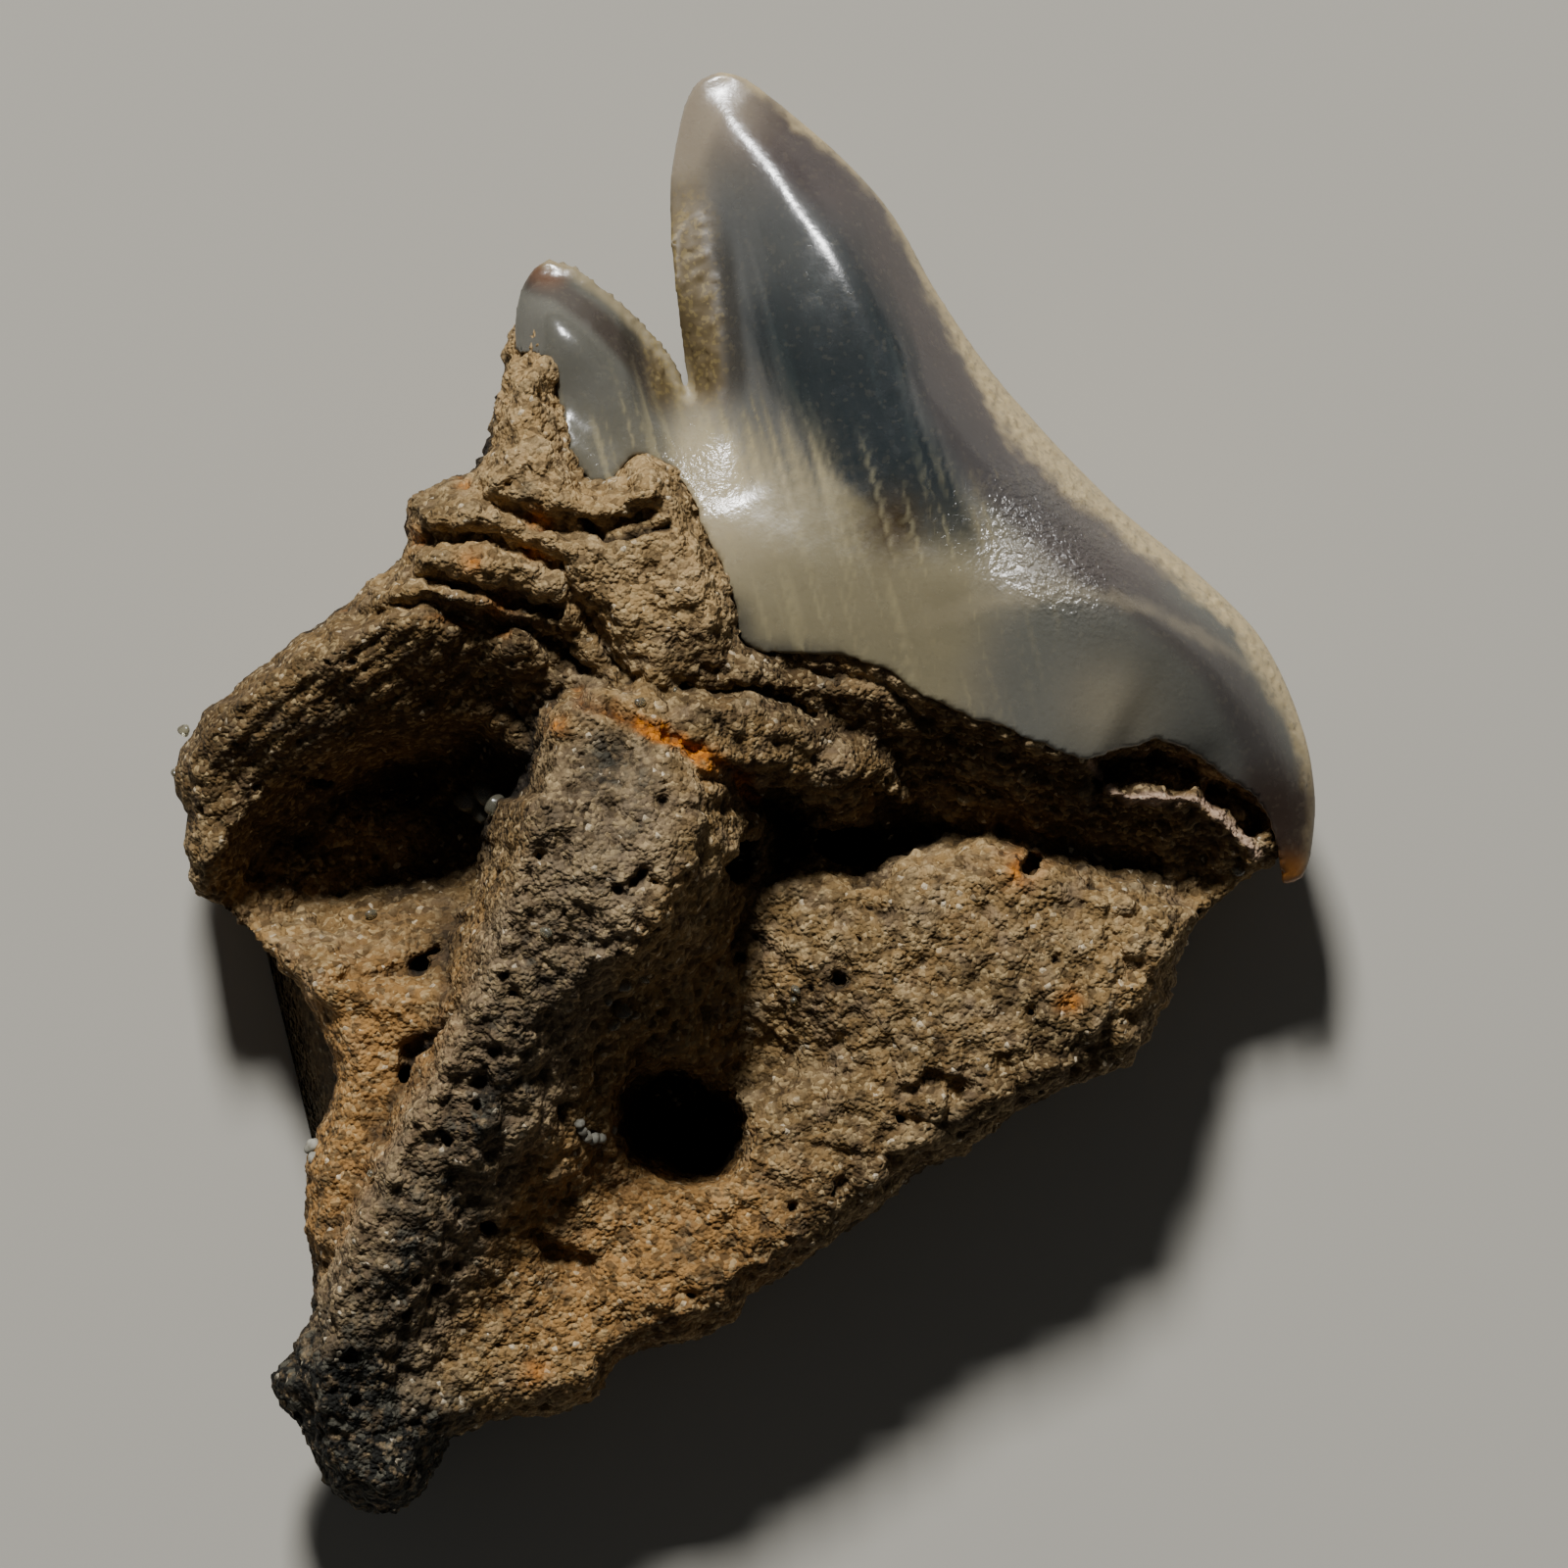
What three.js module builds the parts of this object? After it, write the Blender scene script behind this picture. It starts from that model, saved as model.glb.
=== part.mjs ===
// A fossil shark tooth lying on its flat back. It grew as one piece: a glossy crown with a main cusp, a side
// cusplet and a long cutting blade, on a worn root with a central ridge, deep hollows beside it and a ledged
// left lobe. Millimetres. X and Y lie in the face of the tooth, +Y runs from the root's tip to the tip of the
// main cusp, and +Z is up, out of the worn inner face.
import * as THREE from "three";

// Driving dimensions
const CELL = 0.29; // of the grid that the surface is meshed on
const SPAN_STEPS = 5; // straight pieces of a smooth line between two of its control points
const MARGIN = 0.5; // of empty space round the tooth while it is meshed
const TOP = 4.9; // above the highest point of the root's ridge
const MIDDLE = [-0.417, -0.08]; // of the tooth's box, in the coordinates that its outline is drawn in

const EDGE_Z = 1.6; // height of the crown's cutting edges
const EDGE_HALF = 0.07; // half the thickness that wear has left on them
const RIM_Z = 1.5; // height of the middle of the root's rim
const CROWN_BACK = 0.95; // how far the crown's back bulges below its edges
const CAP_UNDERCUT = 0.2; // how fast the root falls back under the edge of the enamel
const BASE_Z = 1.9; // height of the root's front where no ridge or hollow shapes it

const CREVICE_WIDTH = 0.16; // half the width of the crevices between the left lobe's ledges
const CREVICE_DEPTH = 0.4; // how deep they have worn
const KNOB = 0.12; // half the height of the knobs along the right rim
const LUMP = 0.07; // half the height of the slow lumps on the root

// The free edges of the crown, as [x, y]
const MAIN_LEFT = [
  [-0.97, 3.98], [-1.03, 4.4], [-1.13, 5.2], [-1.17, 5.85], [-1.12, 6.5], [-0.98, 7.03], [-0.65, 7.28],
];
const MAIN_RIGHT = [
  [-0.65, 7.28], [-0.2, 7.07], [0.57, 6.42], [1.12, 5.8], [1.55, 5.05], [2.12, 4.22], [2.7, 3.56],
  [3.4, 2.85], [4.15, 2.22], [4.83, 1.55], [5.2, 0.85], [5.4, 0.15], [5.42, -0.45], [5.3, -0.95],
  [5.08, -1.05],
];
const SMALL_RIGHT = [[-2.38, 5.34], [-2.0, 5.17], [-1.55, 4.8], [-1.15, 4.35], [-0.97, 3.98]];
const SMALL_LEFT = [[-2.74, 4.4], [-2.74, 4.8], [-2.62, 5.18], [-2.38, 5.34]];
// Where the enamel ends on the root, from the heel back to the side cusplet
const CAP_BASE = [
  [5.08, -1.05], [4.98, -0.55], [4.8, -0.12], [4.45, 0.08], [4.12, 0.32], [3.8, 0.43], [3.4, 0.33],
  [3.0, 0.25], [2.6, 0.4], [2.3, 0.55], [1.75, 0.72], [1.35, 0.95], [0.9, 1.2], [0.2, 1.33], [-0.38, 1.42],
  [-0.5, 1.85], [-0.66, 2.25], [-0.85, 2.65], [-1.0, 3.0], [-1.15, 3.22], [-1.4, 3.33], [-1.6, 3.22],
  [-1.75, 3.06], [-1.95, 3.05], [-2.15, 3.3], [-2.3, 3.9], [-2.4, 4.3], [-2.74, 4.4],
];
// The root seen from above: from the heel round the right slab, the tip and the left lobe, under the crown
const ROOT_RIM = [
  [4.8, -0.92], [4.4, -1.2], [4.08, -1.6], [3.93, -2.0], [3.8, -2.4], [3.5, -2.85], [2.85, -3.1],
  [2.2, -3.45], [1.96, -3.66], [1.5, -3.85], [1.0, -4.25], [0.3, -4.8], [-0.25, -5.15], [-0.55, -5.48],
  [-1.2, -5.7], [-1.7, -5.88], [-1.95, -6.28], [-2.6, -6.42], [-3.15, -6.55], [-3.5, -6.85], [-3.75, -7.25],
  [-4.15, -7.4], [-4.6, -7.2], [-4.78, -6.85], [-5.0, -6.45], [-5.2, -6.15], [-5.0, -5.8], [-4.8, -5.5],
  [-4.8, -4.9], [-4.9, -4.2], [-4.78, -3.6], [-4.62, -3.1], [-4.68, -2.6], [-5.0, -2.05], [-5.35, -1.6],
  [-5.65, -1.3], [-6.0, -0.95], [-6.1, -0.4], [-6.2, 0.1], [-6.05, 0.5], [-5.6, 1.0], [-4.9, 1.5],
  [-4.45, 1.8], [-4.1, 2.15], [-3.88, 2.4], [-3.82, 2.85], [-3.5, 3.05], [-3.15, 3.15], [-2.98, 3.6],
  [-2.85, 4.1], [-2.82, 4.55], [-2.5, 4.8], [-2.1, 4.3], [-1.4, 3.7], [-0.5, 3.0], [1.0, 2.3], [2.6, 1.6],
  [4.0, 0.9], [4.9, 0.5], [5.2, -0.1], [5.1, -0.65],
];

// A ridge or a valley follows a line of [x, y, height, half-width]. Beside its flat top or floor it falls or
// rises at one slope on the left of the line's run and another on the right, and its corner is rounded.
const CUSP_CREST = {
  line: [[-0.62, 7.15, 2.15, 0], [-0.2, 6.6, 2.18, 0], [0.2, 6.1, 2.32, 0], [0.6, 5.6, 2.57, 0],
    [0.9, 5.0, 2.75, 0], [1.15, 4.0, 2.86, 0], [1.4, 3.0, 2.97, 0], [1.5, 2.2, 3.02, 0]],
  left: 0.6, right: 0.17, round: 0.4,
};
const BASE_BULGE = {
  line: [[-1.0, 2.7, 2.75, 0.1], [-0.2, 2.1, 2.9, 0.2], [0.8, 1.9, 3.0, 0.2], [1.9, 1.8, 3.08, 0.1],
    [2.8, 1.75, 3.15, 0.05], [3.5, 1.6, 2.98, 0], [4.0, 1.4, 2.78, 0], [4.8, 0.7, 2.4, 0],
    [5.15, -0.3, 2.05, 0]],
  left: 0.46, right: 0.12, round: 0.2,
};
const SMALL_CREST = {
  line: [[-2.6, 5.12, 2.1, 0], [-2.46, 4.84, 2.32, 0], [-2.2, 4.55, 2.5, 0], [-1.95, 4.1, 2.52, 0],
    [-1.6, 3.0, 2.6, 0.3]],
  left: 0.4, right: 0.3, round: 0.2,
};

const HEAD = {
  line: [[-1.75, 0.35, 3.9, 0.5], [-1.7, -0.3, 4.3, 0.76], [-1.95, -1.0, 4.3, 0.72], [-2.4, -1.7, 4.1, 0.45],
    [-2.8, -2.4, 3.85, 0.2]],
  left: 3.0, right: 8.0, round: 0.15,
};
const SHAFT = {
  line: [[-2.7, -1.8, 3.95, 0.2], [-3.2, -3.0, 3.65, 0.2], [-3.8, -4.1, 3.3, 0.2],
    [-4.25, -5.2, 3.0, 0.2], [-4.45, -6.0, 2.8, 0.2], [-4.35, -6.9, 2.6, 0.2]],
  left: 1.0, right: 6.0, round: 0.18,
};
const SLAB = {
  line: [[0.6, -1.9, 2.35, 0.3], [2.0, -1.75, 2.5, 0.35], [3.3, -1.75, 2.3, 0.3]],
  left: 0.32, right: 0.45, round: 0.3,
};
const LOBE = {
  line: [[-1.0, 2.3, 3.5, 0.6], [-2.4, 2.45, 3.5, 0.25], [-3.4, 2.25, 3.3, 0.12], [-4.2, 1.65, 3.05, 0.08],
    [-5.0, 1.1, 2.75, 0.06], [-5.6, 0.6, 2.45, 0.05], [-5.95, 0.2, 2.2, 0.05]],
  left: 0.8, right: 0.45, round: 0.3,
};
const NECK_BAND = {
  line: [[-1.1, 1.5, 3.55, 0.4], [-0.4, 1.3, 3.3, 0.3], [0.4, 1.15, 2.95, 0.1], [1.2, 0.88, 2.85, 0],
    [2.3, 0.47, 2.75, 0], [3.3, 0.15, 2.55, 0], [4.3, -0.2, 2.25, 0]],
  left: 0.5, right: 1.15, round: 0.12,
};
const SHELF = {
  line: [[-0.8, 0.42, 3.85, 0.22], [-0.2, 0.42, 3.5, 0.18], [0.45, 0.15, 3.0, 0.1]],
  left: 1.5, right: 3.0, round: 0.12,
};
const LEFT_BAY = {
  line: [[-3.2, -1.4, 2.6, 0.4], [-4.0, -2.2, 2.45, 0.5], [-4.2, -3.6, 2.35, 0.5], [-4.4, -5.0, 2.4, 0.3]],
  left: 0.25, right: 0.25, round: 0.3,
};
const LOWER_BAY = {
  line: [[-3.4, -6.1, 2.4, 0.3], [-2.4, -5.3, 2.2, 0.7], [-1.2, -4.6, 2.2, 0.7], [0.0, -3.9, 2.3, 0.5]],
  left: 0.3, right: 0.2, round: 0.3,
};
const LOWER_LIP = {
  line: [[2.9, -2.4, 2.45, 0.25], [1.4, -3.2, 2.45, 0.2], [0.1, -4.3, 2.35, 0.15], [-1.2, -5.3, 2.25, 0.15]],
  left: 0.6, right: 0.3, round: 0.3,
};

const NECK_GROOVE = {
  line: [[-0.5, -0.55, 1.5, 0.12], [0.2, -0.25, 1.1, 0.12], [0.8, -0.2, 0.9, 0.15], [1.4, -0.1, 1.0, 0.12],
    [2.0, -0.02, 1.1, 0.1], [2.5, -0.15, 1.2, 0.1], [3.3, -0.45, 1.3, 0.1], [4.0, -0.8, 1.4, 0.08],
    [4.4, -1.0, 1.5, 0.05]],
  left: 1.8, right: 2.6, round: 0.15,
};
const HOLLOW = {
  line: [[-2.4, -0.3, 3.2, 0.3], [-2.95, -0.35, 0.7, 0.35], [-4.1, -0.5, 0.7, 0.38], [-5.0, -0.9, 0.9, 0.3],
    [-5.4, -1.2, 1.2, 0.15]],
  left: 1.5, right: 3.0, round: 0.15,
};
const BOWL = {
  line: [[-0.7, -1.1, 2.35, 0.2], [-0.9, -2.0, 1.9, 0.25], [-1.0, -2.8, 1.5, 0.25], [-1.0, -3.5, 2.2, 0.3],
    [-1.0, -4.0, 2.8, 0.3]],
  left: 0.75, right: 1.5, round: 0.25,
};
const PIT = {
  line: [[-1.15, -3.38, 0.6, 0.3], [-0.88, -3.52, 0.6, 0.3]],
  left: 8.0, right: 7.0, round: 0.1,
};

// The crevices between the ledges of the left lobe, and the one that runs down to the ridge's head
const CREVICES = [
  [[-3.3, 3.05], [-2.8, 2.81], [-2.44, 2.69], [-2.08, 2.57], [-1.66, 2.66], [-1.3, 2.72]],
  [[-3.95, 2.4], [-3.58, 2.51], [-3.04, 2.51], [-2.56, 2.36], [-2.2, 2.18]],
  [[-4.05, 2.04], [-3.64, 2.09], [-3.16, 2.0], [-2.8, 1.88], [-2.32, 1.82]],
  [[-4.45, 1.75], [-3.88, 1.82], [-3.4, 1.73], [-2.92, 1.61], [-2.44, 1.55], [-2.08, 1.28]],
  [[-2.2, 2.12], [-2.02, 1.76], [-1.84, 1.4], [-1.66, 1.1], [-1.6, 0.92]],
];

// A smooth line through control points, as rows of [x, y, height, half-width]
function smoothLine(points, closed = false) {
  const stations = points.map(([x, y, z = 0]) => new THREE.Vector3(x, y, z));
  const curve = new THREE.CatmullRomCurve3(stations, closed, "centripetal");
  const spans = points.length - (closed ? 0 : 1);
  return Array.from({ length: spans * SPAN_STEPS + 1 }, (_, n) => {
    const p = curve.getPoint(n / (spans * SPAN_STEPS));
    const i = Math.min(Math.floor(n / SPAN_STEPS), spans - 1);
    const half = points[i][3] ?? 0;
    const next = points[(i + 1) % points.length][3] ?? 0;
    return [p.x, p.y, p.z, half + (next - half) * (n / SPAN_STEPS - i)];
  });
}

// The nearest place on a line: how far, on which side of its run (+1 is left), how high and how wide
function nearest(line, x, y) {
  let best = Infinity;
  let found = null;
  for (let i = 0; i + 1 < line.length; i++) {
    const [ax, ay, az, aw] = line[i];
    const [bx, by, bz, bw] = line[i + 1];
    const dx = bx - ax;
    const dy = by - ay;
    const px = x - ax;
    const py = y - ay;
    const t = Math.min(1, Math.max(0, (px * dx + py * dy) / (dx * dx + dy * dy || 1)));
    const d = (px - t * dx) ** 2 + (py - t * dy) ** 2;
    if (d >= best) continue;
    best = d;
    found = { side: dx * py - dy * px >= 0 ? 1 : -1, z: az + t * (bz - az), half: aw + t * (bw - aw) };
  }
  return { ...found, distance: Math.sqrt(best) };
}

function isInside(loop, x, y) {
  let inside = false;
  for (let i = 0, j = loop.length - 1; i < loop.length; j = i++) {
    const [ax, ay] = loop[i];
    const [bx, by] = loop[j];
    if (ay > y !== by > y && x < ((bx - ax) * (y - ay)) / (by - ay) + ax) inside = !inside;
  }
  return inside;
}

const depthInside = (loop, x, y) => nearest(loop, x, y).distance * (isInside(loop, x, y) ? 1 : -1);

function smoothStep(from, to, v) {
  const t = Math.min(1, Math.max(0, (v - from) / (to - from)));
  return t * t * (3 - 2 * t);
}

function smoothMax(a, b, r) {
  const h = Math.max(r - Math.abs(a - b), 0) / r;
  return Math.max(a, b) + h * h * r * 0.25;
}
const smoothMin = (a, b, r) => -smoothMax(-a, -b, r);

// How far the side of a ridge has fallen, or of a valley has risen, at (x, y)
function fall(form, x, y) {
  form.smooth ??= smoothLine(form.line);
  const n = nearest(form.smooth, x, y);
  const d = Math.max(0, n.distance - n.half);
  const slope = n.side > 0 ? form.left : form.right;
  return { z: n.z, drop: slope * (Math.hypot(d, form.round) - form.round) };
}
const ridge = (form, x, y) => {
  const f = fall(form, x, y);
  return f.z - f.drop;
};
const valley = (form, x, y) => {
  const f = fall(form, x, y);
  return f.z + f.drop;
};

// The left lobe grew in layers, and crevices have worn between them
function crevices(x, y) {
  const distance = Math.min(...crevicePaths.map((path) => nearest(path, x, y).distance));
  return -CREVICE_DEPTH * Math.exp(-((distance / CREVICE_WIDTH) ** 1.5));
}

// The right rim has broken into knobs
function knobs(x, y, inside) {
  const nearRim = smoothStep(1.3, 0.4, inside) * smoothStep(-2.5, -1.5, x) * smoothStep(1.0, 0.0, y);
  return KNOB * nearRim * Math.sin(6.1 * x - 2.2 * y) * Math.sin(2.4 * x + 5.7 * y);
}

// Slow lumps all over the worn root
function lumps(x, y) {
  const a = Math.sin(2.9 * x + 1.3 * y + 1.1 * Math.sin(1.9 * y - 0.7 * x));
  const b = Math.sin(3.7 * y - 1.6 * x + 1.3 * Math.sin(2.3 * x + 0.9 * y));
  return LUMP * 0.5 * (a + b);
}

// 0 at an edge and 1 from a width w inwards: a lens rises gently, a rounded rim steeply
const lens = (d, w) => (d <= 0 ? 0 : d >= w ? 1 : 1 - (1 - d / w) ** 1.7);
const rounded = (d, w) => (d <= 0 ? 0 : d >= w ? 1 : Math.sqrt(1 - (1 - d / w) ** 2));

const mainLeft = smoothLine(MAIN_LEFT);
const mainRight = smoothLine(MAIN_RIGHT);
const smallRight = smoothLine(SMALL_RIGHT);
const smallLeft = smoothLine(SMALL_LEFT);
const capLoop = [...smallLeft, ...smallRight, ...mainLeft, ...mainRight, ...smoothLine(CAP_BASE)];
const rootLoop = smoothLine(ROOT_RIM, true);
const crevicePaths = CREVICES.map((points) => smoothLine(points));

// The crown above (x, y): its front and back heights and how far the place lies inside its enamel
function crownAt(x, y) {
  const edges = [mainLeft, mainRight, smallLeft, smallRight];
  const [left, right, smallL, smallR] = edges.map((line) => nearest(line, x, y).distance);
  const mainRoll = lens(left, 1.3) * lens(right, 0.8);
  const smallRoll = lens(smallL, 0.3) * lens(smallR, 0.6);
  const main = smoothMax(ridge(CUSP_CREST, x, y), ridge(BASE_BULGE, x, y), 0.35);
  const small = ridge(SMALL_CREST, x, y);
  const front = smoothMax(
    EDGE_Z + EDGE_HALF + (main - EDGE_Z) * mainRoll,
    EDGE_Z + EDGE_HALF + (small - EDGE_Z) * smallRoll,
    0.3,
  );
  const bulge = Math.max(lens(left, 1.1) * lens(right, 1.1), lens(smallL, 0.7) * lens(smallR, 0.7));
  return { front, back: EDGE_Z - EDGE_HALF - CROWN_BACK * bulge, inside: depthInside(capLoop, x, y) };
}

// The root above (x, y): its hollows are cut from the broad ridges, and the sharp ridges stand in them
function rootAt(x, y) {
  const inside = depthInside(rootLoop, x, y);
  let front = BASE_Z;
  for (const form of [SLAB, LEFT_BAY, LOWER_BAY, LOWER_LIP])
    front = smoothMax(front, ridge(form, x, y), 0.35);
  front = smoothMin(front, valley(BOWL, x, y), 0.3);
  front = smoothMin(front, valley(NECK_GROOVE, x, y), 0.25);
  front = smoothMax(front, ridge(LOBE, x, y), 0.25);
  front = smoothMin(front, valley(HOLLOW, x, y), 0.2);
  for (const form of [NECK_BAND, SHAFT]) front = smoothMax(front, ridge(form, x, y), 0.25);
  for (const form of [HEAD, SHELF]) front = smoothMax(front, ridge(form, x, y), 0.12);
  front = smoothMin(front, valley(PIT, x, y), 0.15);
  front += crevices(x, y) + knobs(x, y, inside) + lumps(x, y);
  return {
    front: RIM_Z + (front - RIM_Z) * rounded(inside, 0.4),
    back: RIM_Z * (1 - rounded(inside, 1.3)),
    inside,
  };
}

// How far (x, y, z) lies outside the tooth; it is negative inside
function field(crown, root, z) {
  const edge = crown.inside - CAP_UNDERCUT * Math.max(0, crown.front - z);
  const inCrown = Math.max(z - crown.front, crown.back - z, -edge);
  const inRoot = Math.max(z - root.front, root.back - z, -root.inside);
  return smoothMin(inCrown, inRoot, 0.08);
}

// The field on a regular grid of points that holds the whole tooth
function sampleField() {
  const xs = [...rootLoop, ...capLoop].map((p) => p[0]);
  const ys = [...rootLoop, ...capLoop].map((p) => p[1]);
  const low = [Math.min(...xs) - MARGIN, Math.min(...ys) - MARGIN, -MARGIN];
  const high = [Math.max(...xs) + MARGIN, Math.max(...ys) + MARGIN, TOP];
  const count = low.map((v, axis) => Math.ceil((high[axis] - v) / CELL) + 1);
  const stride = [count[1] * count[2], count[2], 1];
  const values = new Float64Array(count[0] * count[1] * count[2]);
  for (let i = 0; i < count[0]; i++)
    for (let j = 0; j < count[1]; j++) {
      const x = low[0] + i * CELL;
      const y = low[1] + j * CELL;
      const crown = crownAt(x, y);
      const root = rootAt(x, y);
      for (let k = 0; k < count[2]; k++)
        values[i * stride[0] + j * stride[1] + k] = field(crown, root, low[2] + k * CELL);
    }
  return { low, count, stride, values };
}

// Every grid point whose neighbours on the next side of the given axes are on the grid too
function* gridPoints({ count, stride }, axes) {
  const last = count.map((n, axis) => n - (axes.includes(axis) ? 1 : 0));
  for (let i = 0; i < last[0]; i++)
    for (let j = 0; j < last[1]; j++)
      for (let k = 0; k < last[2]; k++) yield [i * stride[0] + j * stride[1] + k, i, j, k];
}

// Where the four corners of a grid square alternate between inside and outside, two sheets of the surface
// would share an edge. The open corner nearest to the surface is filled, until no such square is left.
function untangle(grid) {
  const { stride, values } = grid;
  let filled = 0;
  for (const [u, v] of [[0, 1], [1, 2], [0, 2]])
    for (const [a] of gridPoints(grid, [u, v])) {
      const square = [a, a + stride[u], a + stride[u] + stride[v], a + stride[v]];
      const solid = square.map((n) => values[n] < 0);
      if (solid[0] !== solid[2] || solid[1] !== solid[3] || solid[0] === solid[1]) continue;
      const open = square.filter((n) => values[n] >= 0);
      values[values[open[0]] < values[open[1]] ? open[0] : open[1]] = -1e-3;
      filled++;
    }
  if (filled) untangle(grid);
}

// One vertex in each cell that the surface crosses, at the middle of its crossings of the cell's twelve edges
function cellVertices(grid) {
  const { low, stride, values } = grid;
  const corners = [0, 1, 2, 3, 4, 5, 6, 7].map((n) => [n & 1, (n >> 1) & 1, n >> 2]);
  const edges = corners.flatMap((a, m) =>
    [0, 1, 2].filter((axis) => !a[axis]).map((axis) => [m, m + (1 << axis)]),
  );
  const offsets = corners.map((c) => c[0] * stride[0] + c[1] * stride[1] + c[2] * stride[2]);
  const ids = new Map();
  const positions = [];
  for (const [at, ...cell] of gridPoints(grid, [0, 1, 2])) {
    const solid = offsets.map((offset) => values[at + offset] < 0);
    const crossings = edges.filter(([m, n]) => solid[m] !== solid[n]);
    if (!crossings.length) continue;
    const sum = [0, 0, 0];
    for (const [m, n] of crossings) {
      const a = values[at + offsets[m]];
      const t = a / (a - values[at + offsets[n]]);
      for (const axis of [0, 1, 2]) sum[axis] += corners[m][axis] + t * (corners[n][axis] - corners[m][axis]);
    }
    ids.set(at, positions.length / 3);
    positions.push(...sum.map((v, axis) => low[axis] + CELL * (cell[axis] + v / crossings.length)));
  }
  return { ids, positions };
}

// One four-sided face across each grid edge that the surface crosses, facing out, as two triangles
function edgeFaces(grid, ids) {
  const { stride, values } = grid;
  const index = [];
  for (const axis of [0, 1, 2]) {
    const u = stride[(axis + 1) % 3];
    const v = stride[(axis + 2) % 3];
    for (const [at] of gridPoints(grid, [axis])) {
      const solid = values[at] < 0;
      if (solid === values[at + stride[axis]] < 0) continue;
      const [a, b, c, d] = [at - u - v, at - v, at, at - u].map((n) => ids.get(n));
      index.push(...(solid ? [a, b, c, a, c, d] : [a, c, b, a, d, c]));
    }
  }
  return index;
}

function toothGeometry() {
  const grid = sampleField();
  untangle(grid);
  const { ids, positions } = cellVertices(grid);
  const geometry = new THREE.BufferGeometry();
  geometry.setAttribute("position", new THREE.Float32BufferAttribute(positions, 3));
  geometry.setIndex(edgeFaces(grid, ids));
  geometry.translate(-MIDDLE[0], -MIDDLE[1], 0);
  geometry.computeVertexNormals();
  return geometry;
}

const dentine = new THREE.MeshStandardMaterial({ color: 0x796242, roughness: 0.85, metalness: 0 });
const tooth = new THREE.Mesh(toothGeometry(), dentine);
tooth.name = "tooth";

const group = new THREE.Group();
group.add(tooth);
export default group;
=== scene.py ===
# %% [markdown]
# # A fossil shark tooth, seen on its worn inner face
# A shark's tooth has two parts that grew together. The crown is covered with enameloid, a hard and glossy
# mineral, and the root is dentine, which is bone-like and full of small canals. This fossil lies on its flat
# back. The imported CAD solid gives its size, outline and main forms. The scene builds the same forms again from
# the same measured lines, finer, and adds what a lens would show: growth layers, pits, grains, chips and stains.

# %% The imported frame
import itertools
import bmesh
import bpy
import numpy as np
from mathutils import Matrix, Vector


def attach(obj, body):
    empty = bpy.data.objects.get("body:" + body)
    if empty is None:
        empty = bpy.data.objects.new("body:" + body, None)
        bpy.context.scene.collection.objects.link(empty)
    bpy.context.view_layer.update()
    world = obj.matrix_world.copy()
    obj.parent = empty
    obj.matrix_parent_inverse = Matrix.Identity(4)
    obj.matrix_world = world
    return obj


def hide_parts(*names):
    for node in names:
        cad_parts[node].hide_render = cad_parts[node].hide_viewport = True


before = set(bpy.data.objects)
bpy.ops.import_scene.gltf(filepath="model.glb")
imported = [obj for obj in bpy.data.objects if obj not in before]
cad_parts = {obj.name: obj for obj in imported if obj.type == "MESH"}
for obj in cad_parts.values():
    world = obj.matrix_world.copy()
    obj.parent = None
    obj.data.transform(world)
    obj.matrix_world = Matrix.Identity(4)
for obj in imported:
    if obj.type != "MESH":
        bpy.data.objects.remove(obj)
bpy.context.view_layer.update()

# %% [markdown]
# ## The measured outline
# Everything below is in millimetres, in the plan that the tooth was measured in: X to the crown's heel, Y to the
# main cusp. The four free edges of the crown, the line where the enamel stops and the rim of the root are each a
# short list of points with a smooth line through them. An artist could draw these as curves by hand. Numbers are
# used here because the CAD solid has the same ones, apart from a few that round its two tips, so the two agree.

# %% Outline of the crown and of the root
MIDDLE = np.array([-0.417, -0.08, 0.0])  # of the tooth's box in the plan
MAIN_LEFT = [
    (-0.97, 3.98), (-1.03, 4.4), (-1.13, 5.2), (-1.17, 5.85), (-1.12, 6.5), (-1.0, 6.98), (-0.87, 7.18),
    (-0.65, 7.28),
]
MAIN_RIGHT = [
    (-0.65, 7.28), (-0.42, 7.22), (-0.2, 7.07), (0.57, 6.42), (1.12, 5.8), (1.55, 5.05), (2.12, 4.22),
    (2.7, 3.56), (3.4, 2.85), (4.15, 2.22), (4.83, 1.55), (5.2, 0.85), (5.4, 0.15), (5.42, -0.45),
    (5.3, -0.95), (5.08, -1.05),
]
SMALL_RIGHT = [(-2.38, 5.34), (-2.2, 5.3), (-2.0, 5.17), (-1.55, 4.8), (-1.15, 4.35), (-0.97, 3.98)]
SMALL_LEFT = [(-2.74, 4.4), (-2.74, 4.8), (-2.64, 5.14), (-2.53, 5.28), (-2.38, 5.34)]
CAP_BASE = [
    (5.08, -1.05), (4.98, -0.55), (4.8, -0.12), (4.45, 0.08), (4.12, 0.32), (3.8, 0.43), (3.4, 0.33),
    (3.0, 0.25), (2.6, 0.4), (2.3, 0.55), (1.75, 0.72), (1.35, 0.95), (0.9, 1.2), (0.2, 1.33),
    (-0.38, 1.42), (-0.5, 1.85), (-0.66, 2.25), (-0.85, 2.65), (-1.0, 3.0), (-1.15, 3.22), (-1.4, 3.33),
    (-1.6, 3.22), (-1.75, 3.06), (-1.95, 3.05), (-2.15, 3.3), (-2.3, 3.9), (-2.4, 4.3), (-2.74, 4.4),
]
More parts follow.
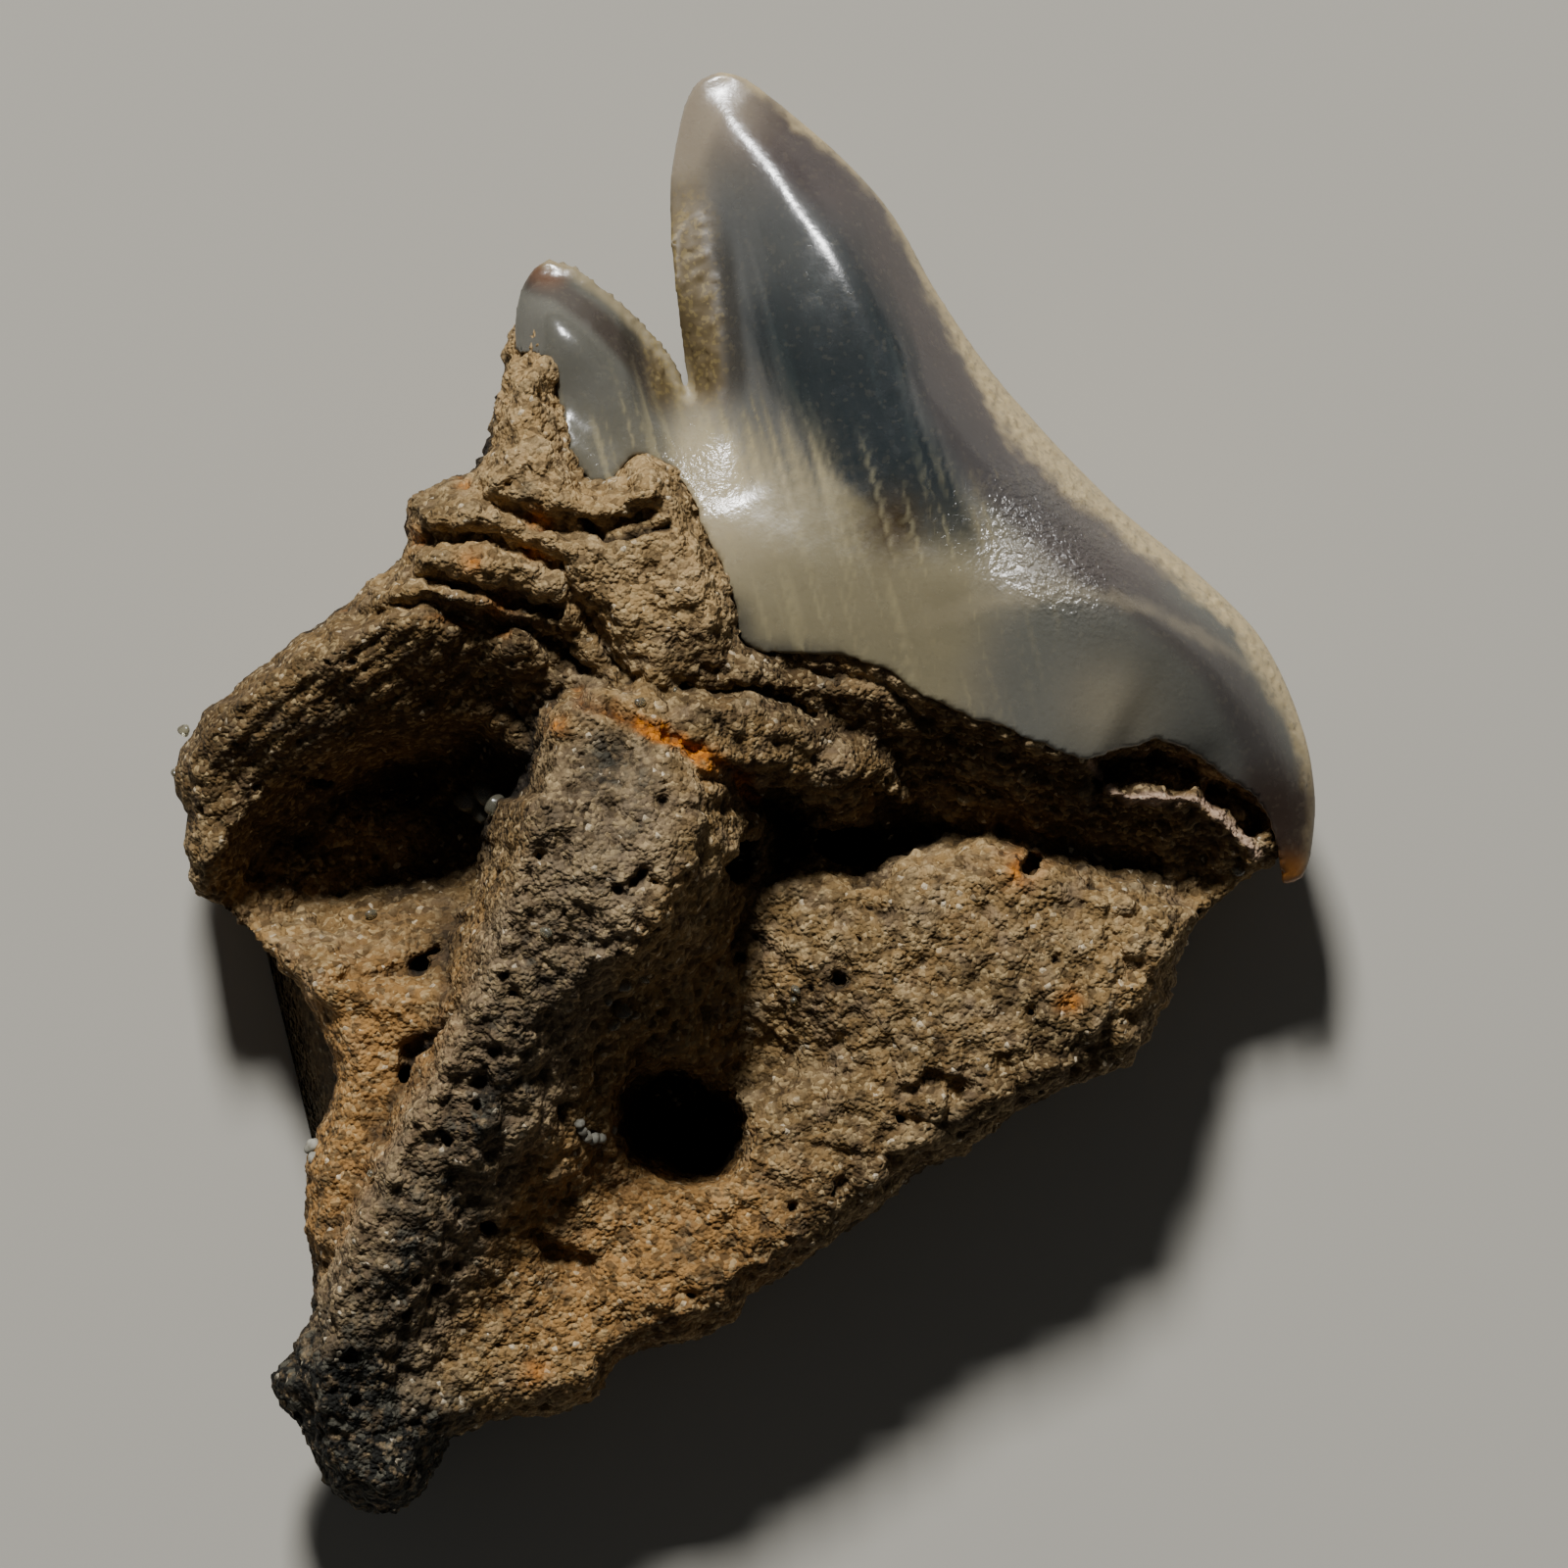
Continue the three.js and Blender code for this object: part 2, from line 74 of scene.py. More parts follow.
ROOT_RIM = [
    (4.8, -0.92), (4.4, -1.2), (4.08, -1.6), (3.93, -2.0), (3.8, -2.4), (3.5, -2.85), (2.85, -3.1),
    (2.2, -3.45), (1.96, -3.66), (1.5, -3.85), (1.0, -4.25), (0.3, -4.8), (-0.25, -5.15), (-0.55, -5.48),
    (-1.2, -5.7), (-1.7, -5.88), (-1.95, -6.28), (-2.6, -6.42), (-3.15, -6.55), (-3.5, -6.85),
    (-3.75, -7.25), (-4.15, -7.4), (-4.6, -7.2), (-4.78, -6.85), (-5.0, -6.45), (-5.2, -6.15), (-5.0, -5.8),
    (-4.8, -5.5), (-4.8, -4.9), (-4.9, -4.2), (-4.78, -3.6), (-4.62, -3.1), (-4.68, -2.6), (-5.0, -2.05),
    (-5.35, -1.6), (-5.65, -1.3), (-6.0, -0.95), (-6.1, -0.4), (-6.2, 0.1), (-6.05, 0.5), (-5.6, 1.0),
    (-4.9, 1.5), (-4.45, 1.8), (-4.1, 2.15), (-3.88, 2.4), (-3.82, 2.85), (-3.5, 3.05), (-3.15, 3.15),
    (-2.98, 3.6), (-2.85, 4.1), (-2.82, 4.55), (-2.5, 4.8), (-2.1, 4.3), (-1.4, 3.7), (-0.5, 3.0),
    (1.0, 2.3), (2.6, 1.6), (4.0, 0.9), (4.9, 0.5), (5.2, -0.1), (5.1, -0.65),
]

# %% [markdown]
# ## Ridges and valleys
# A worn root is not a random rock. It has a few large forms, each with a reason: a central ridge that carried
# the nerve canal, a lobe on each side, a groove under the crown. Each form here follows a line of (x, y, height,
# half-width), and beside its flat middle it falls or rises at one slope on the left of the line's run and
# another on the right. Sculpting would be quicker for one tooth, but lines can be read, measured and moved.

# %% The large forms of the front
FORMS = {  # line, slope on its left, slope on its right, rounding of the crest
    "cusp_crest": ([(-0.62, 7.15, 2.15), (-0.2, 6.6, 2.18), (0.2, 6.1, 2.32), (0.6, 5.6, 2.57),
        (0.9, 5.0, 2.75), (1.15, 4.0, 2.86), (1.4, 3.0, 2.97), (1.5, 2.2, 3.02)],
        0.6, 0.17, 0.4),
    "base_bulge": ([(-1.0, 2.7, 2.75, 0.1), (-0.2, 2.1, 2.9, 0.2), (0.8, 1.9, 3.0, 0.2),
        (1.9, 1.8, 3.08, 0.1), (2.8, 1.75, 3.15, 0.05), (3.5, 1.6, 2.98), (4.0, 1.4, 2.78), (4.8, 0.7, 2.4),
        (5.15, -0.3, 2.05)],
        0.46, 0.12, 0.2),
    "small_crest": ([(-2.6, 5.12, 2.1), (-2.46, 4.84, 2.32), (-2.2, 4.55, 2.5), (-1.95, 4.1, 2.52),
        (-1.6, 3.0, 2.6, 0.3)],
        0.4, 0.3, 0.2),
    "head": ([(-1.75, 0.35, 3.9, 0.5), (-1.7, -0.3, 4.3, 0.76), (-1.95, -1.0, 4.3, 0.72),
        (-2.4, -1.7, 4.1, 0.45), (-2.8, -2.4, 3.85, 0.2)],
        3.0, 8.0, 0.15),
    "shaft": ([(-2.7, -1.8, 3.95, 0.2), (-3.2, -3.0, 3.65, 0.2), (-3.8, -4.1, 3.3, 0.2),
        (-4.25, -5.2, 3.0, 0.2), (-4.45, -6.0, 2.8, 0.2), (-4.35, -6.9, 2.6, 0.2)],
        1.0, 6.0, 0.18),
    "slab": ([(0.6, -1.9, 2.35, 0.3), (2.0, -1.75, 2.5, 0.35), (3.3, -1.75, 2.3, 0.3)],
        0.32, 0.45, 0.3),
    "lobe": ([(-1.0, 2.3, 3.5, 0.6), (-2.4, 2.45, 3.5, 0.25), (-3.4, 2.25, 3.3, 0.12),
        (-4.2, 1.65, 3.05, 0.08), (-5.0, 1.1, 2.75, 0.06), (-5.6, 0.6, 2.45, 0.05), (-5.95, 0.2, 2.2, 0.05)],
        0.8, 0.45, 0.3),
    "neck_band": ([(-1.1, 1.5, 3.55, 0.4), (-0.4, 1.3, 3.3, 0.3), (0.4, 1.15, 2.95, 0.1), (1.2, 0.88, 2.85),
        (2.3, 0.47, 2.75), (3.3, 0.15, 2.55), (4.3, -0.2, 2.25)],
        0.5, 1.15, 0.12),
    "shelf": ([(-0.8, 0.42, 3.85, 0.22), (-0.2, 0.42, 3.5, 0.18), (0.45, 0.15, 3.0, 0.1)],
        1.5, 3.0, 0.12),
    "left_bay": ([(-3.2, -1.4, 2.6, 0.4), (-4.0, -2.2, 2.45, 0.5), (-4.2, -3.6, 2.35, 0.5),
        (-4.4, -5.0, 2.4, 0.3)],
        0.25, 0.25, 0.3),
    "lower_bay": ([(-3.4, -6.1, 2.4, 0.3), (-2.4, -5.3, 2.2, 0.7), (-1.2, -4.6, 2.2, 0.7),
        (0.0, -3.9, 2.3, 0.5)],
        0.3, 0.2, 0.3),
    "lower_lip": ([(2.9, -2.4, 2.45, 0.25), (1.4, -3.2, 2.45, 0.2), (0.1, -4.3, 2.35, 0.15),
        (-1.2, -5.3, 2.25, 0.15)],
        0.6, 0.3, 0.3),
    "neck_groove": ([(-0.5, -0.55, 1.5, 0.12), (0.2, -0.25, 1.1, 0.12), (0.8, -0.2, 0.9, 0.15),
        (1.4, -0.1, 1.0, 0.12), (2.0, -0.02, 1.1, 0.1), (2.5, -0.15, 1.2, 0.1), (3.3, -0.45, 1.3, 0.1),
        (4.0, -0.8, 1.4, 0.08), (4.4, -1.0, 1.5, 0.05)],
        1.8, 2.6, 0.15),
    "hollow": ([(-2.4, -0.3, 3.2, 0.3), (-2.95, -0.35, 0.7, 0.35), (-4.1, -0.5, 0.7, 0.38),
        (-5.0, -0.9, 0.9, 0.3), (-5.4, -1.2, 1.2, 0.15)],
        1.5, 3.0, 0.15),
    "bowl": ([(-0.7, -1.1, 2.35, 0.2), (-0.9, -2.0, 1.9, 0.25), (-1.0, -2.8, 1.5, 0.25),
        (-1.0, -3.5, 2.2, 0.3), (-1.0, -4.0, 2.8, 0.3)],
        0.75, 1.5, 0.25),
    "pit": ([(-1.15, -3.38, 0.4, 0.27), (-0.88, -3.52, 0.4, 0.27)],
        8.0, 7.0, 0.1),
}
print(len(FORMS), "ridges and valleys")

# %% [markdown]
# ## Smooth lines and distances
# A line through points can be a Bezier curve, a NURBS curve or a Catmull-Rom spline. Catmull-Rom passes through
# every point, and its centripetal form doesn't overshoot where points are close together. All distances are
# worked out for a whole grid of places at once, which numpy does in a second or two.

# %% Smooth line
def smooth_line(points, closed=False, steps=5):
    """A Catmull-Rom line. What a point lacks of x, y, height and half-width is 0."""
    rows = np.array([tuple(p) + (0.0,) * (4 - len(p)) for p in points])
    count = len(rows)
    spans = count if closed else count - 1
    ends = rows if closed else np.vstack([2 * rows[0] - rows[1], rows, 2 * rows[-1] - rows[-2]])
    out = []
    for i in range(spans):
        four = [ends[(i + n) % count] for n in (-1, 0, 1, 2)] if closed else ends[i:i + 4]
        a, b, c, d = (np.asarray(p)[:3] for p in four)
        gaps = [max(((q - p) ** 2).sum() ** 0.25, 1e-4) for p, q in ((a, b), (b, c), (c, d))]
        t1 = ((b - a) / gaps[0] - (c - a) / (gaps[0] + gaps[1]) + (c - b) / gaps[1]) * gaps[1]
        t2 = ((c - b) / gaps[1] - (d - b) / (gaps[1] + gaps[2]) + (d - c) / gaps[2]) * gaps[1]
        for n in range(steps + (i == spans - 1)):
            t = n / steps
            p = b + t1 * t + (3 * (c - b) - 2 * t1 - t2) * t**2 + (2 * (b - c) + t1 + t2) * t**3
            out.append((*p, four[1][3] * (1 - t) + four[2][3] * t))
    return np.array(out)

# %% Nearest place on a line
def nearest(line, x, y):
    best = np.full(x.shape, np.inf)
    side, height, half = (np.zeros(x.shape) for _ in range(3))
    for a, b in zip(line[:-1], line[1:]):
        dx, dy = b[0] - a[0], b[1] - a[1]
        px, py = x - a[0], y - a[1]
        t = np.clip((px * dx + py * dy) / max(dx * dx + dy * dy, 1e-12), 0, 1)
        d = (px - t * dx) ** 2 + (py - t * dy) ** 2
        closer = d < best
        best[closer] = d[closer]
        side[closer] = np.where(dx * py - dy * px >= 0, 1, -1)[closer]
        height[closer] = (a[2] + t * (b[2] - a[2]))[closer]
        half[closer] = (a[3] + t * (b[3] - a[3]))[closer]
    return np.sqrt(best), side, height, half

def depth_inside(loop, x, y):
    inside = np.zeros(x.shape, bool)
    for a, b in zip(loop, np.roll(loop, -1, axis=0)):
        crosses = (a[1] > y) != (b[1] > y)
        inside ^= crosses & (x < (b[0] - a[0]) * (y - a[1]) / (b[1] - a[1] or 1e-12) + a[0])
    return np.where(inside, 1, -1) * nearest(loop, x, y)[0]

# %% Blending forms
def ramp(start, end, v):
    t = np.clip((v - start) / (end - start), 0, 1)
    return t * t * (3 - 2 * t)

def smooth_max(a, b, r):
    h = np.maximum(r - np.abs(a - b), 0) / r
    return np.maximum(a, b) + h * h * r * 0.25

def smooth_min(a, b, r):
    return -smooth_max(-a, -b, r)

def form(name, x, y, rises=False):
    line, left, right, rounding = FORMS[name]
    distance, side, height, half = nearest(smooth_line(line), x, y)
    d = np.maximum(0, distance - half)
    change = np.where(side > 0, left, right) * (np.hypot(d, rounding) - rounding)
    return height + change if rises else height - change

def lens(d, w):
    return 1 - (1 - np.clip(d / w, -0.3, 1)) ** 1.7

def rounded(d, w):
    return np.sqrt(1 - (1 - np.clip(d / w, 0, 1)) ** 2)

main_left, main_right, small_left, small_right = (
    smooth_line(line, steps=12) for line in (MAIN_LEFT, MAIN_RIGHT, SMALL_LEFT, SMALL_RIGHT))
cap_loop = np.vstack([small_left, small_right, main_left, main_right, smooth_line(CAP_BASE)])
root_loop = smooth_line(ROOT_RIM, closed=True)
print("enamel edge in", len(cap_loop), "points, root rim in", len(root_loop))

# %% [markdown]
# ## Noise with a real size
# Blender's texture nodes make noise for colour, but a visible shape has to be in the mesh. Two patterns are
# enough: a smooth random field, whose scale is the size of one lump, and random spots, whose scale is the
# distance between neighbours. Round cobbles are made of the spots. All of them read one table of random numbers
# with a fixed seed, so each run is the same.

# %% Smooth noise and random spots
CORNERS = list(itertools.product((0, 1), repeat=3))
SIDE = 48  # of the table, after which the noise repeats
TABLE = np.random.default_rng(11).random((SIDE, SIDE, SIDE, 4))

def noise(p, size, channel=0):
    q = p / size
    cell = np.floor(q).astype(int)
    f = q - cell
    f = f * f * f * (f * (6 * f - 15) + 10)
    total = np.zeros(len(p))
    for corner in CORNERS:
        weight = np.prod(np.where(corner, f, 1 - f), axis=1)
        index = (cell + corner) % SIDE
        total += weight * TABLE[index[:, 0], index[:, 1], index[:, 2], channel]
    return 2 * total - 1

def spots(p, spacing):
    q = p / spacing
    cell = np.floor(q).astype(int)
    best = np.full(len(p), np.inf)
    chance = np.zeros(len(p))
    for step in itertools.product((-1, 0, 1), repeat=3):
        index = (cell + step) % SIDE
        random = TABLE[index[:, 0], index[:, 1], index[:, 2]]
        d = ((cell + step + random[:, :3] - q) ** 2).sum(1)
        closer = d < best
        best[closer] = d[closer]
        chance[closer] = random[closer, 3]
    return np.sqrt(best) * spacing, chance

def cobbles(p, size):
    """Round lumps, each size across: 0.5 on a lump's top and below 0 in the creases."""
    return 0.5 - 1.4 * (spots(p, size)[0] / size) ** 2

def flat_points(x, y, size):
    return np.stack([x, y, np.full_like(x, 0.37 * size)], axis=-1).reshape(-1, 3)

def flat_noise(x, y, size, channel=0):
    return noise(flat_points(x, y, size), size, channel).reshape(x.shape)

def uneven(values, x, y, *rows):
    """Values with noise added, from rows of amount, size and channel."""
    for amount, size, channel in rows:
        values = values + amount * flat_noise(x, y, size, channel)
    return values

def flat_cobbles(x, y, size):
    return cobbles(flat_points(x, y, size), size).reshape(x.shape)

# %% [markdown]
# ## The crown
# A shark's cutting tooth is a lens in cross-section: full in the middle and thin along both cutting edges. The
# cusp has a soft crest that runs down from its tip, and the base has a swollen band, because the enameloid wraps
# round the root there. Revolving or lofting a profile would make a tooth that is too even. Here the surface is
# the higher of the two ridges, brought down to the edge height with a lens-shaped roll.

# %% Heights of the crown
EDGE_Z, EDGE_HALF, CROWN_BACK = 1.6, 0.07, 0.95

def crown_at(x, y):
    inside = depth_inside(cap_loop, x, y)
    edges = (nearest(line, x, y)[0] for line in (main_left, main_right, small_left, small_right))
    left, right, small_l, small_r = (np.where(d + inside < 1e-6, -d, d) for d in edges)
    main = smooth_max(form("cusp_crest", x, y), form("base_bulge", x, y), 0.35)
    small = form("small_crest", x, y)
    front = smooth_max(
        EDGE_Z + EDGE_HALF + (main - EDGE_Z) * lens(left, 1.3) * lens(right, 0.8),
        EDGE_Z + EDGE_HALF + (small - EDGE_Z) * lens(small_l, 0.3) * lens(small_r, 0.6),
        0.3,
    )
    bulge = np.maximum(lens(left, 1.1) * lens(right, 1.1), lens(small_l, 0.7) * lens(small_r, 0.7))
    back = EDGE_Z - EDGE_HALF - CROWN_BACK * bulge
    ragged = 0.035 * flat_noise(x, y, 0.22, 1) + 0.02 * flat_noise(x, y, 0.09, 2)
    base = np.minimum(np.minimum(left, right), np.minimum(small_r, small_l)) > 0.12
    return {"front": front, "back": back, "inside": inside + np.where(base, ragged, 0),
            "left": left, "right": right, "small_right": small_r, "small_left": small_l}

def soften(values, passes):
    for _ in range(passes):
        for axis in (0, 1):
            values = 0.5 * values + 0.25 * (np.roll(values, 1, axis) + np.roll(values, -1, axis))
    return values

# %% [markdown]
# ## Growth layers
# The left lobe shows its growth. Four thick layers of dentine run in from the edge, each broken back to its own
# ledge, and below them finer layers fan out from where the root meets the crown. A displacement texture can't do
# this, because the layers have a direction. The crevices between the thick ledges are lines, as the outline is.
# The fine layers are counted by the angle round the fan's centre, and the rows on the lobe's face below them by
# the distance from its crest line. Each is a round roll.

# %% Layers of the left lobe
FAN = (-1.24, 1.81)
CREVICES = [
    [(-3.3, 3.05), (-2.8, 2.81), (-2.44, 2.69), (-2.08, 2.57), (-1.66, 2.66), (-1.3, 2.72)],
    [(-3.95, 2.4), (-3.58, 2.51), (-3.04, 2.51), (-2.56, 2.36), (-2.2, 2.18)],
    [(-4.05, 2.04), (-3.64, 2.09), (-3.16, 2.0), (-2.8, 1.88), (-2.32, 1.82)],
    [(-4.45, 1.75), (-3.88, 1.82), (-3.4, 1.73), (-2.92, 1.61), (-2.44, 1.55), (-2.08, 1.28)],
    [(-2.2, 2.12), (-2.02, 1.76), (-1.84, 1.4), (-1.66, 1.1), (-1.6, 0.92)],
]

def near_path(x, y, points):
    return nearest(smooth_line(points), x, y)[0]

LOBE_LINE = [place[:2] for place in FORMS["lobe"][0]]

def lobe_face(x, y):
    """1 where the left lobe falls to the hollow, in rows that follow its crest."""
    return ramp(-2.3, -2.9, x) * ramp(1.9, 1.4, y + 0.2 * (x + 3)) * ramp(-0.6, -0.1, y)

def rolls(count):
    across = 2 * (count % 1) - 1
    return np.sqrt(np.clip(1 - across**2, 0, 1)) - 0.75

def layers(x, y):
    dx, dy = FAN[0] - x, y - FAN[1]
    reach = np.hypot(dx, dy)
    angle = np.arctan2(dy, dx)
    wobble = uneven(0, x, y, (0.55, 0.9, 0), (0.3, 0.35, 1), (0.12, 0.15, 2))
    broken = 0.75 + 0.6 * flat_noise(x, y, 0.42, 3)
    fan = ramp(-0.95, -0.7, angle) * ramp(0.05, -0.1, angle) * ramp(1.0, 1.8, reach)
    fan *= ramp(-3.4, -2.6, x)
    fine = 0.07 * fan * broken * rolls(angle / 0.06 + 1.5 * wobble)
    fine += 0.15 * lobe_face(x, y) * broken * rolls(near_path(x, y, LOBE_LINE) / 0.19 + 0.5 * wobble)
    bent_x = uneven(x, x, y, (0.09, 0.3, 2), (0.04, 0.12, 0))
    bent_y = uneven(y, x, y, (0.09, 0.3, 1), (0.04, 0.12, 3))
    cut = np.zeros(x.shape)
    for points, depth in zip(CREVICES, (0.3, 0.42, 0.38, 0.34, 0.3)):
        cut = np.maximum(cut, depth * np.exp(-((near_path(bent_x, bent_y, points) / 0.11) ** 1.5)))
    return fine - cut * (0.8 + 0.4 * broken)

# %% [markdown]
# ## The root
# Valleys are cut from the broad forms first and the sharp ridges stand in them, in the order in which wear
# would leave them. Next to the enamel, the dentine runs up to just under its surface, because the two grew in
# contact, and a worn crease follows the enamel's edge.

# %% Heights of the root
RIM_Z, BASE_Z, CAP_STEP = 1.5, 1.9, 0.09
CHIP_POCKETS = [[(3.25, 0.12), (3.65, 0.2), (4.05, 0.05)], [(4.4, -0.1), (4.6, -0.2), (4.75, -0.4)]]
CHIP_FLAKE = [(3.12, 0.2), (3.25, 0.03), (3.38, -0.1), (3.5, -0.15), (4.2, -0.17), (4.45, -0.35), (4.8, -0.7)]
SHELF_CREVICE = [(-1.05, 1.02), (-0.75, 0.92), (-0.35, 0.95), (0.0, 0.85), (0.3, 0.7)]

def root_at(x, y, crown):
    warp_x = uneven(x, x, y, (0.05, 0.35, 0), (0.03, 0.13, 1))
    warp_y = uneven(y, x, y, (0.05, 0.35, 2), (0.03, 0.13, 3))
    inside = depth_inside(root_loop, warp_x, warp_y)
    front = np.full(x.shape, BASE_Z)
    for name in ("slab", "left_bay", "lower_bay", "lower_lip"):
        front = smooth_max(front, form(name, warp_x, warp_y), 0.35)
    front = smooth_min(front, form("bowl", x, y, rises=True), 0.3)
    front = smooth_min(front, form("neck_groove", x, y, rises=True), 0.25)
    front = smooth_max(front, form("lobe", warp_x, warp_y), 0.25)
    front = smooth_min(front, form("hollow", warp_x, warp_y, rises=True), 0.2)
    for name in ("neck_band", "shaft"):
        front = smooth_max(front, form(name, warp_x, warp_y), 0.25)
    for name in ("head", "shelf"):
        front = smooth_max(front, form(name, warp_x, warp_y), 0.12)
    front = smooth_min(front, form("pit", warp_x, warp_y, rises=True), 0.15)
    front = uneven(front + layers(x, y), x, y, (0.07, 0.9, 0), (0.06, 0.45, 2))
    knobs = ramp(1.3, 0.4, inside) * ramp(-2.5, -1.5, x) * ramp(1.0, 0.0, y)
    front = front + (0.05 + 0.13 * knobs) * flat_cobbles(warp_x, warp_y, 0.34)
    near_cap = ramp(-0.3, 0.0, crown["inside"])
    step = 0.15 * ramp(-0.6, 0.2, x) - 0.06
    front = front * (1 - near_cap) + (crown["front"] - step) * near_cap
    pocket = ramp(0.24, 0.1, np.minimum(*(near_path(x, y, line) for line in CHIP_POCKETS)))
    flake, crevice = (np.exp(-((near_path(x, y, line) / width) ** 2))
                      for line, width in ((CHIP_FLAKE, 0.05), (SHELF_CREVICE, 0.07)))
    front = front - 0.4 * pocket + 0.12 * flake - 0.3 * crevice
    crease = np.exp(-(((crown["inside"] + 0.16) / 0.1) ** 2)) * ramp(-0.6, 0.2, x)
    front = front - 0.14 * crease * (1 + 0.6 * flat_noise(x, y, 0.3, 1))
    roll = rounded(inside, 0.32)
    back = RIM_Z * (1 - rounded(inside, 1.3))
    return {"front": RIM_Z + (front - RIM_Z) * roll, "back": back, "inside": inside}

# %% [markdown]
# ## Holes
# The small round holes are where blood vessels entered the root, and wear has widened some into slots. A hole
# is a straight tube with round ends, taken out of the solid. Boolean modifiers on so many triangles are slow
# and can fail, and here the solid is still a field of numbers, so a hole is one line of arithmetic.

# %% Vessel holes and slots: start and end in the plan, radius, and depth of each end under the surface
HOLES = [
    (-3.84, -2.96, -3.9, -3.0, 0.095, 0.0, 0.9),  # round hole in the left bay
    (-4.65, -1.98, -3.8, -1.9, 0.12, 0.05, 0.12),  # slots in the left bay
    (-3.75, -1.88, -3.68, -1.82, 0.12, 0.0, 0.35),
    (-3.78, -2.75, -3.3, -2.25, 0.15, 0.12, 0.15),
    (-3.56, -1.68, -3.56, -1.72, 0.07, 0.0, 0.3),
    (-4.38, -4.48, -4.36, -4.5, 0.07, 0.0, 0.4),
    (-3.02, -4.48, -3.02, -4.52, 0.09, 0.0, 0.35),  # pores of the ridge
    (-2.48, -0.72, -2.5, -0.76, 0.07, 0.0, 0.4),
    (-1.3, -0.98, -1.3, -1.02, 0.06, 0.0, 0.3),
    (-3.4, -3.6, -3.45, -3.65, 0.05, 0.0, 0.3),
    (-2.72, -2.1, -2.74, -2.12, 0.06, 0.0, 0.3),
    (-3.1, -3.25, -3.1, -3.3, 0.055, 0.0, 0.3),
    (-2.2, -1.3, -2.2, -1.32, 0.045, 0.0, 0.3),
    (-1.2, 0.0, -1.2, -0.02, 0.05, 0.0, 0.3),
    (-2.5, -4.6, -2.35, -4.78, 0.1, 0.0, 0.08),  # slot in the lower bay
    (-2.35, -4.78, -2.02, -4.88, 0.11, 0.05, 0.05),
    (-2.3, 0.78, -2.3, 0.75, 0.07, 0.0, 0.4),
    (-2.05, 1.15, -1.8, 1.0, 0.08, 0.05, 0.15),
    (0.55, -0.62, 0.72, -0.5, 0.3, 0.0, 0.6),  # deep openings in the groove under the crown
    (-0.5, -0.82, -0.42, -0.78, 0.22, 0.05, 0.4),
    (2.5, -0.88, 2.54, -0.8, 0.12, 0.0, 0.5),
    (-4.9, 0.02, -4.7, 0.05, 0.09, 0.0, 0.3),
    (0.55, -1.95, 0.55, -1.98, 0.06, 0.0, 0.35),
    (1.2, -3.4, 1.2, -3.45, 0.07, 0.0, 0.4),
    (2.5, -2.3, 2.5, -2.33, 0.06, 0.0, 0.3),
    (0.1, -4.3, 0.05, -4.35, 0.06, 0.0, 0.3),
    (-0.95, -5.2, -0.95, -5.25, 0.05, 0.0, 0.3),
]

def height_on(grid, axes, x, y):
    i, j = (int(round((v - axis[0]) / (axis[1] - axis[0]))) for v, axis in ((x, axes[0]), (y, axes[1])))
    return grid[i, j]

def carve(values, axes, front, holes, blend=0.05):
    for x0, y0, x1, y1, radius, near, far in holes:
        a = np.array([x0, y0, height_on(front, axes, x0, y0) - near])
        b = np.array([x1, y1, height_on(front, axes, x1, y1) - far])
        low, high = np.minimum(a, b) - radius - 0.15, np.maximum(a, b) + radius + 0.15
        part = tuple(slice(*np.searchsorted(axis, (lo, hi))) for axis, lo, hi in zip(axes, low, high))
        x, y, z = np.meshgrid(*(axis[s] for axis, s in zip(axes, part)), indexing="ij")
        p = np.stack([x, y, z], axis=-1) - a
        t = np.clip(p @ (b - a) / ((b - a) @ (b - a)), 0, 1)
        distance = np.linalg.norm(p - t[..., None] * (b - a), axis=-1)
        values[part] = smooth_max(values[part], radius - distance, blend)

# %% [markdown]
# ## From a field to a mesh
# The solid is now a number at every point of a grid: negative inside, positive outside. Marching cubes and
# Blender's voxel remesh both turn that into a surface. Surface nets put one vertex in each cell that the surface
# crosses, at the middle of its crossings, so the mesh has even four-sided faces and no slivers.

# %% Surface nets
def untangle(values):
    """Fills a corner where those of a grid square alternate, so that no edge has four faces."""
    while True:
        filled = 0
        for u, v in ((0, 1), (1, 2), (0, 2)):
            def corner(a, b):
                cut = [slice(None)] * 3
                cut[u], cut[v] = (slice(a, values.shape[u] - 1 + a), slice(b, values.shape[v] - 1 + b))
                return values[tuple(cut)]
            p, q, r, s = corner(0, 0), corner(1, 0), corner(1, 1), corner(0, 1)
            solid = [c < 0 for c in (p, q, r, s)]
            first = ~solid[0] & ~solid[2] & solid[1] & solid[3]
            second = solid[0] & solid[2] & ~solid[1] & ~solid[3]
            p[first], q[second] = -1e-3, -1e-3
            filled += int(first.sum() + second.sum())
        if not filled:
            return

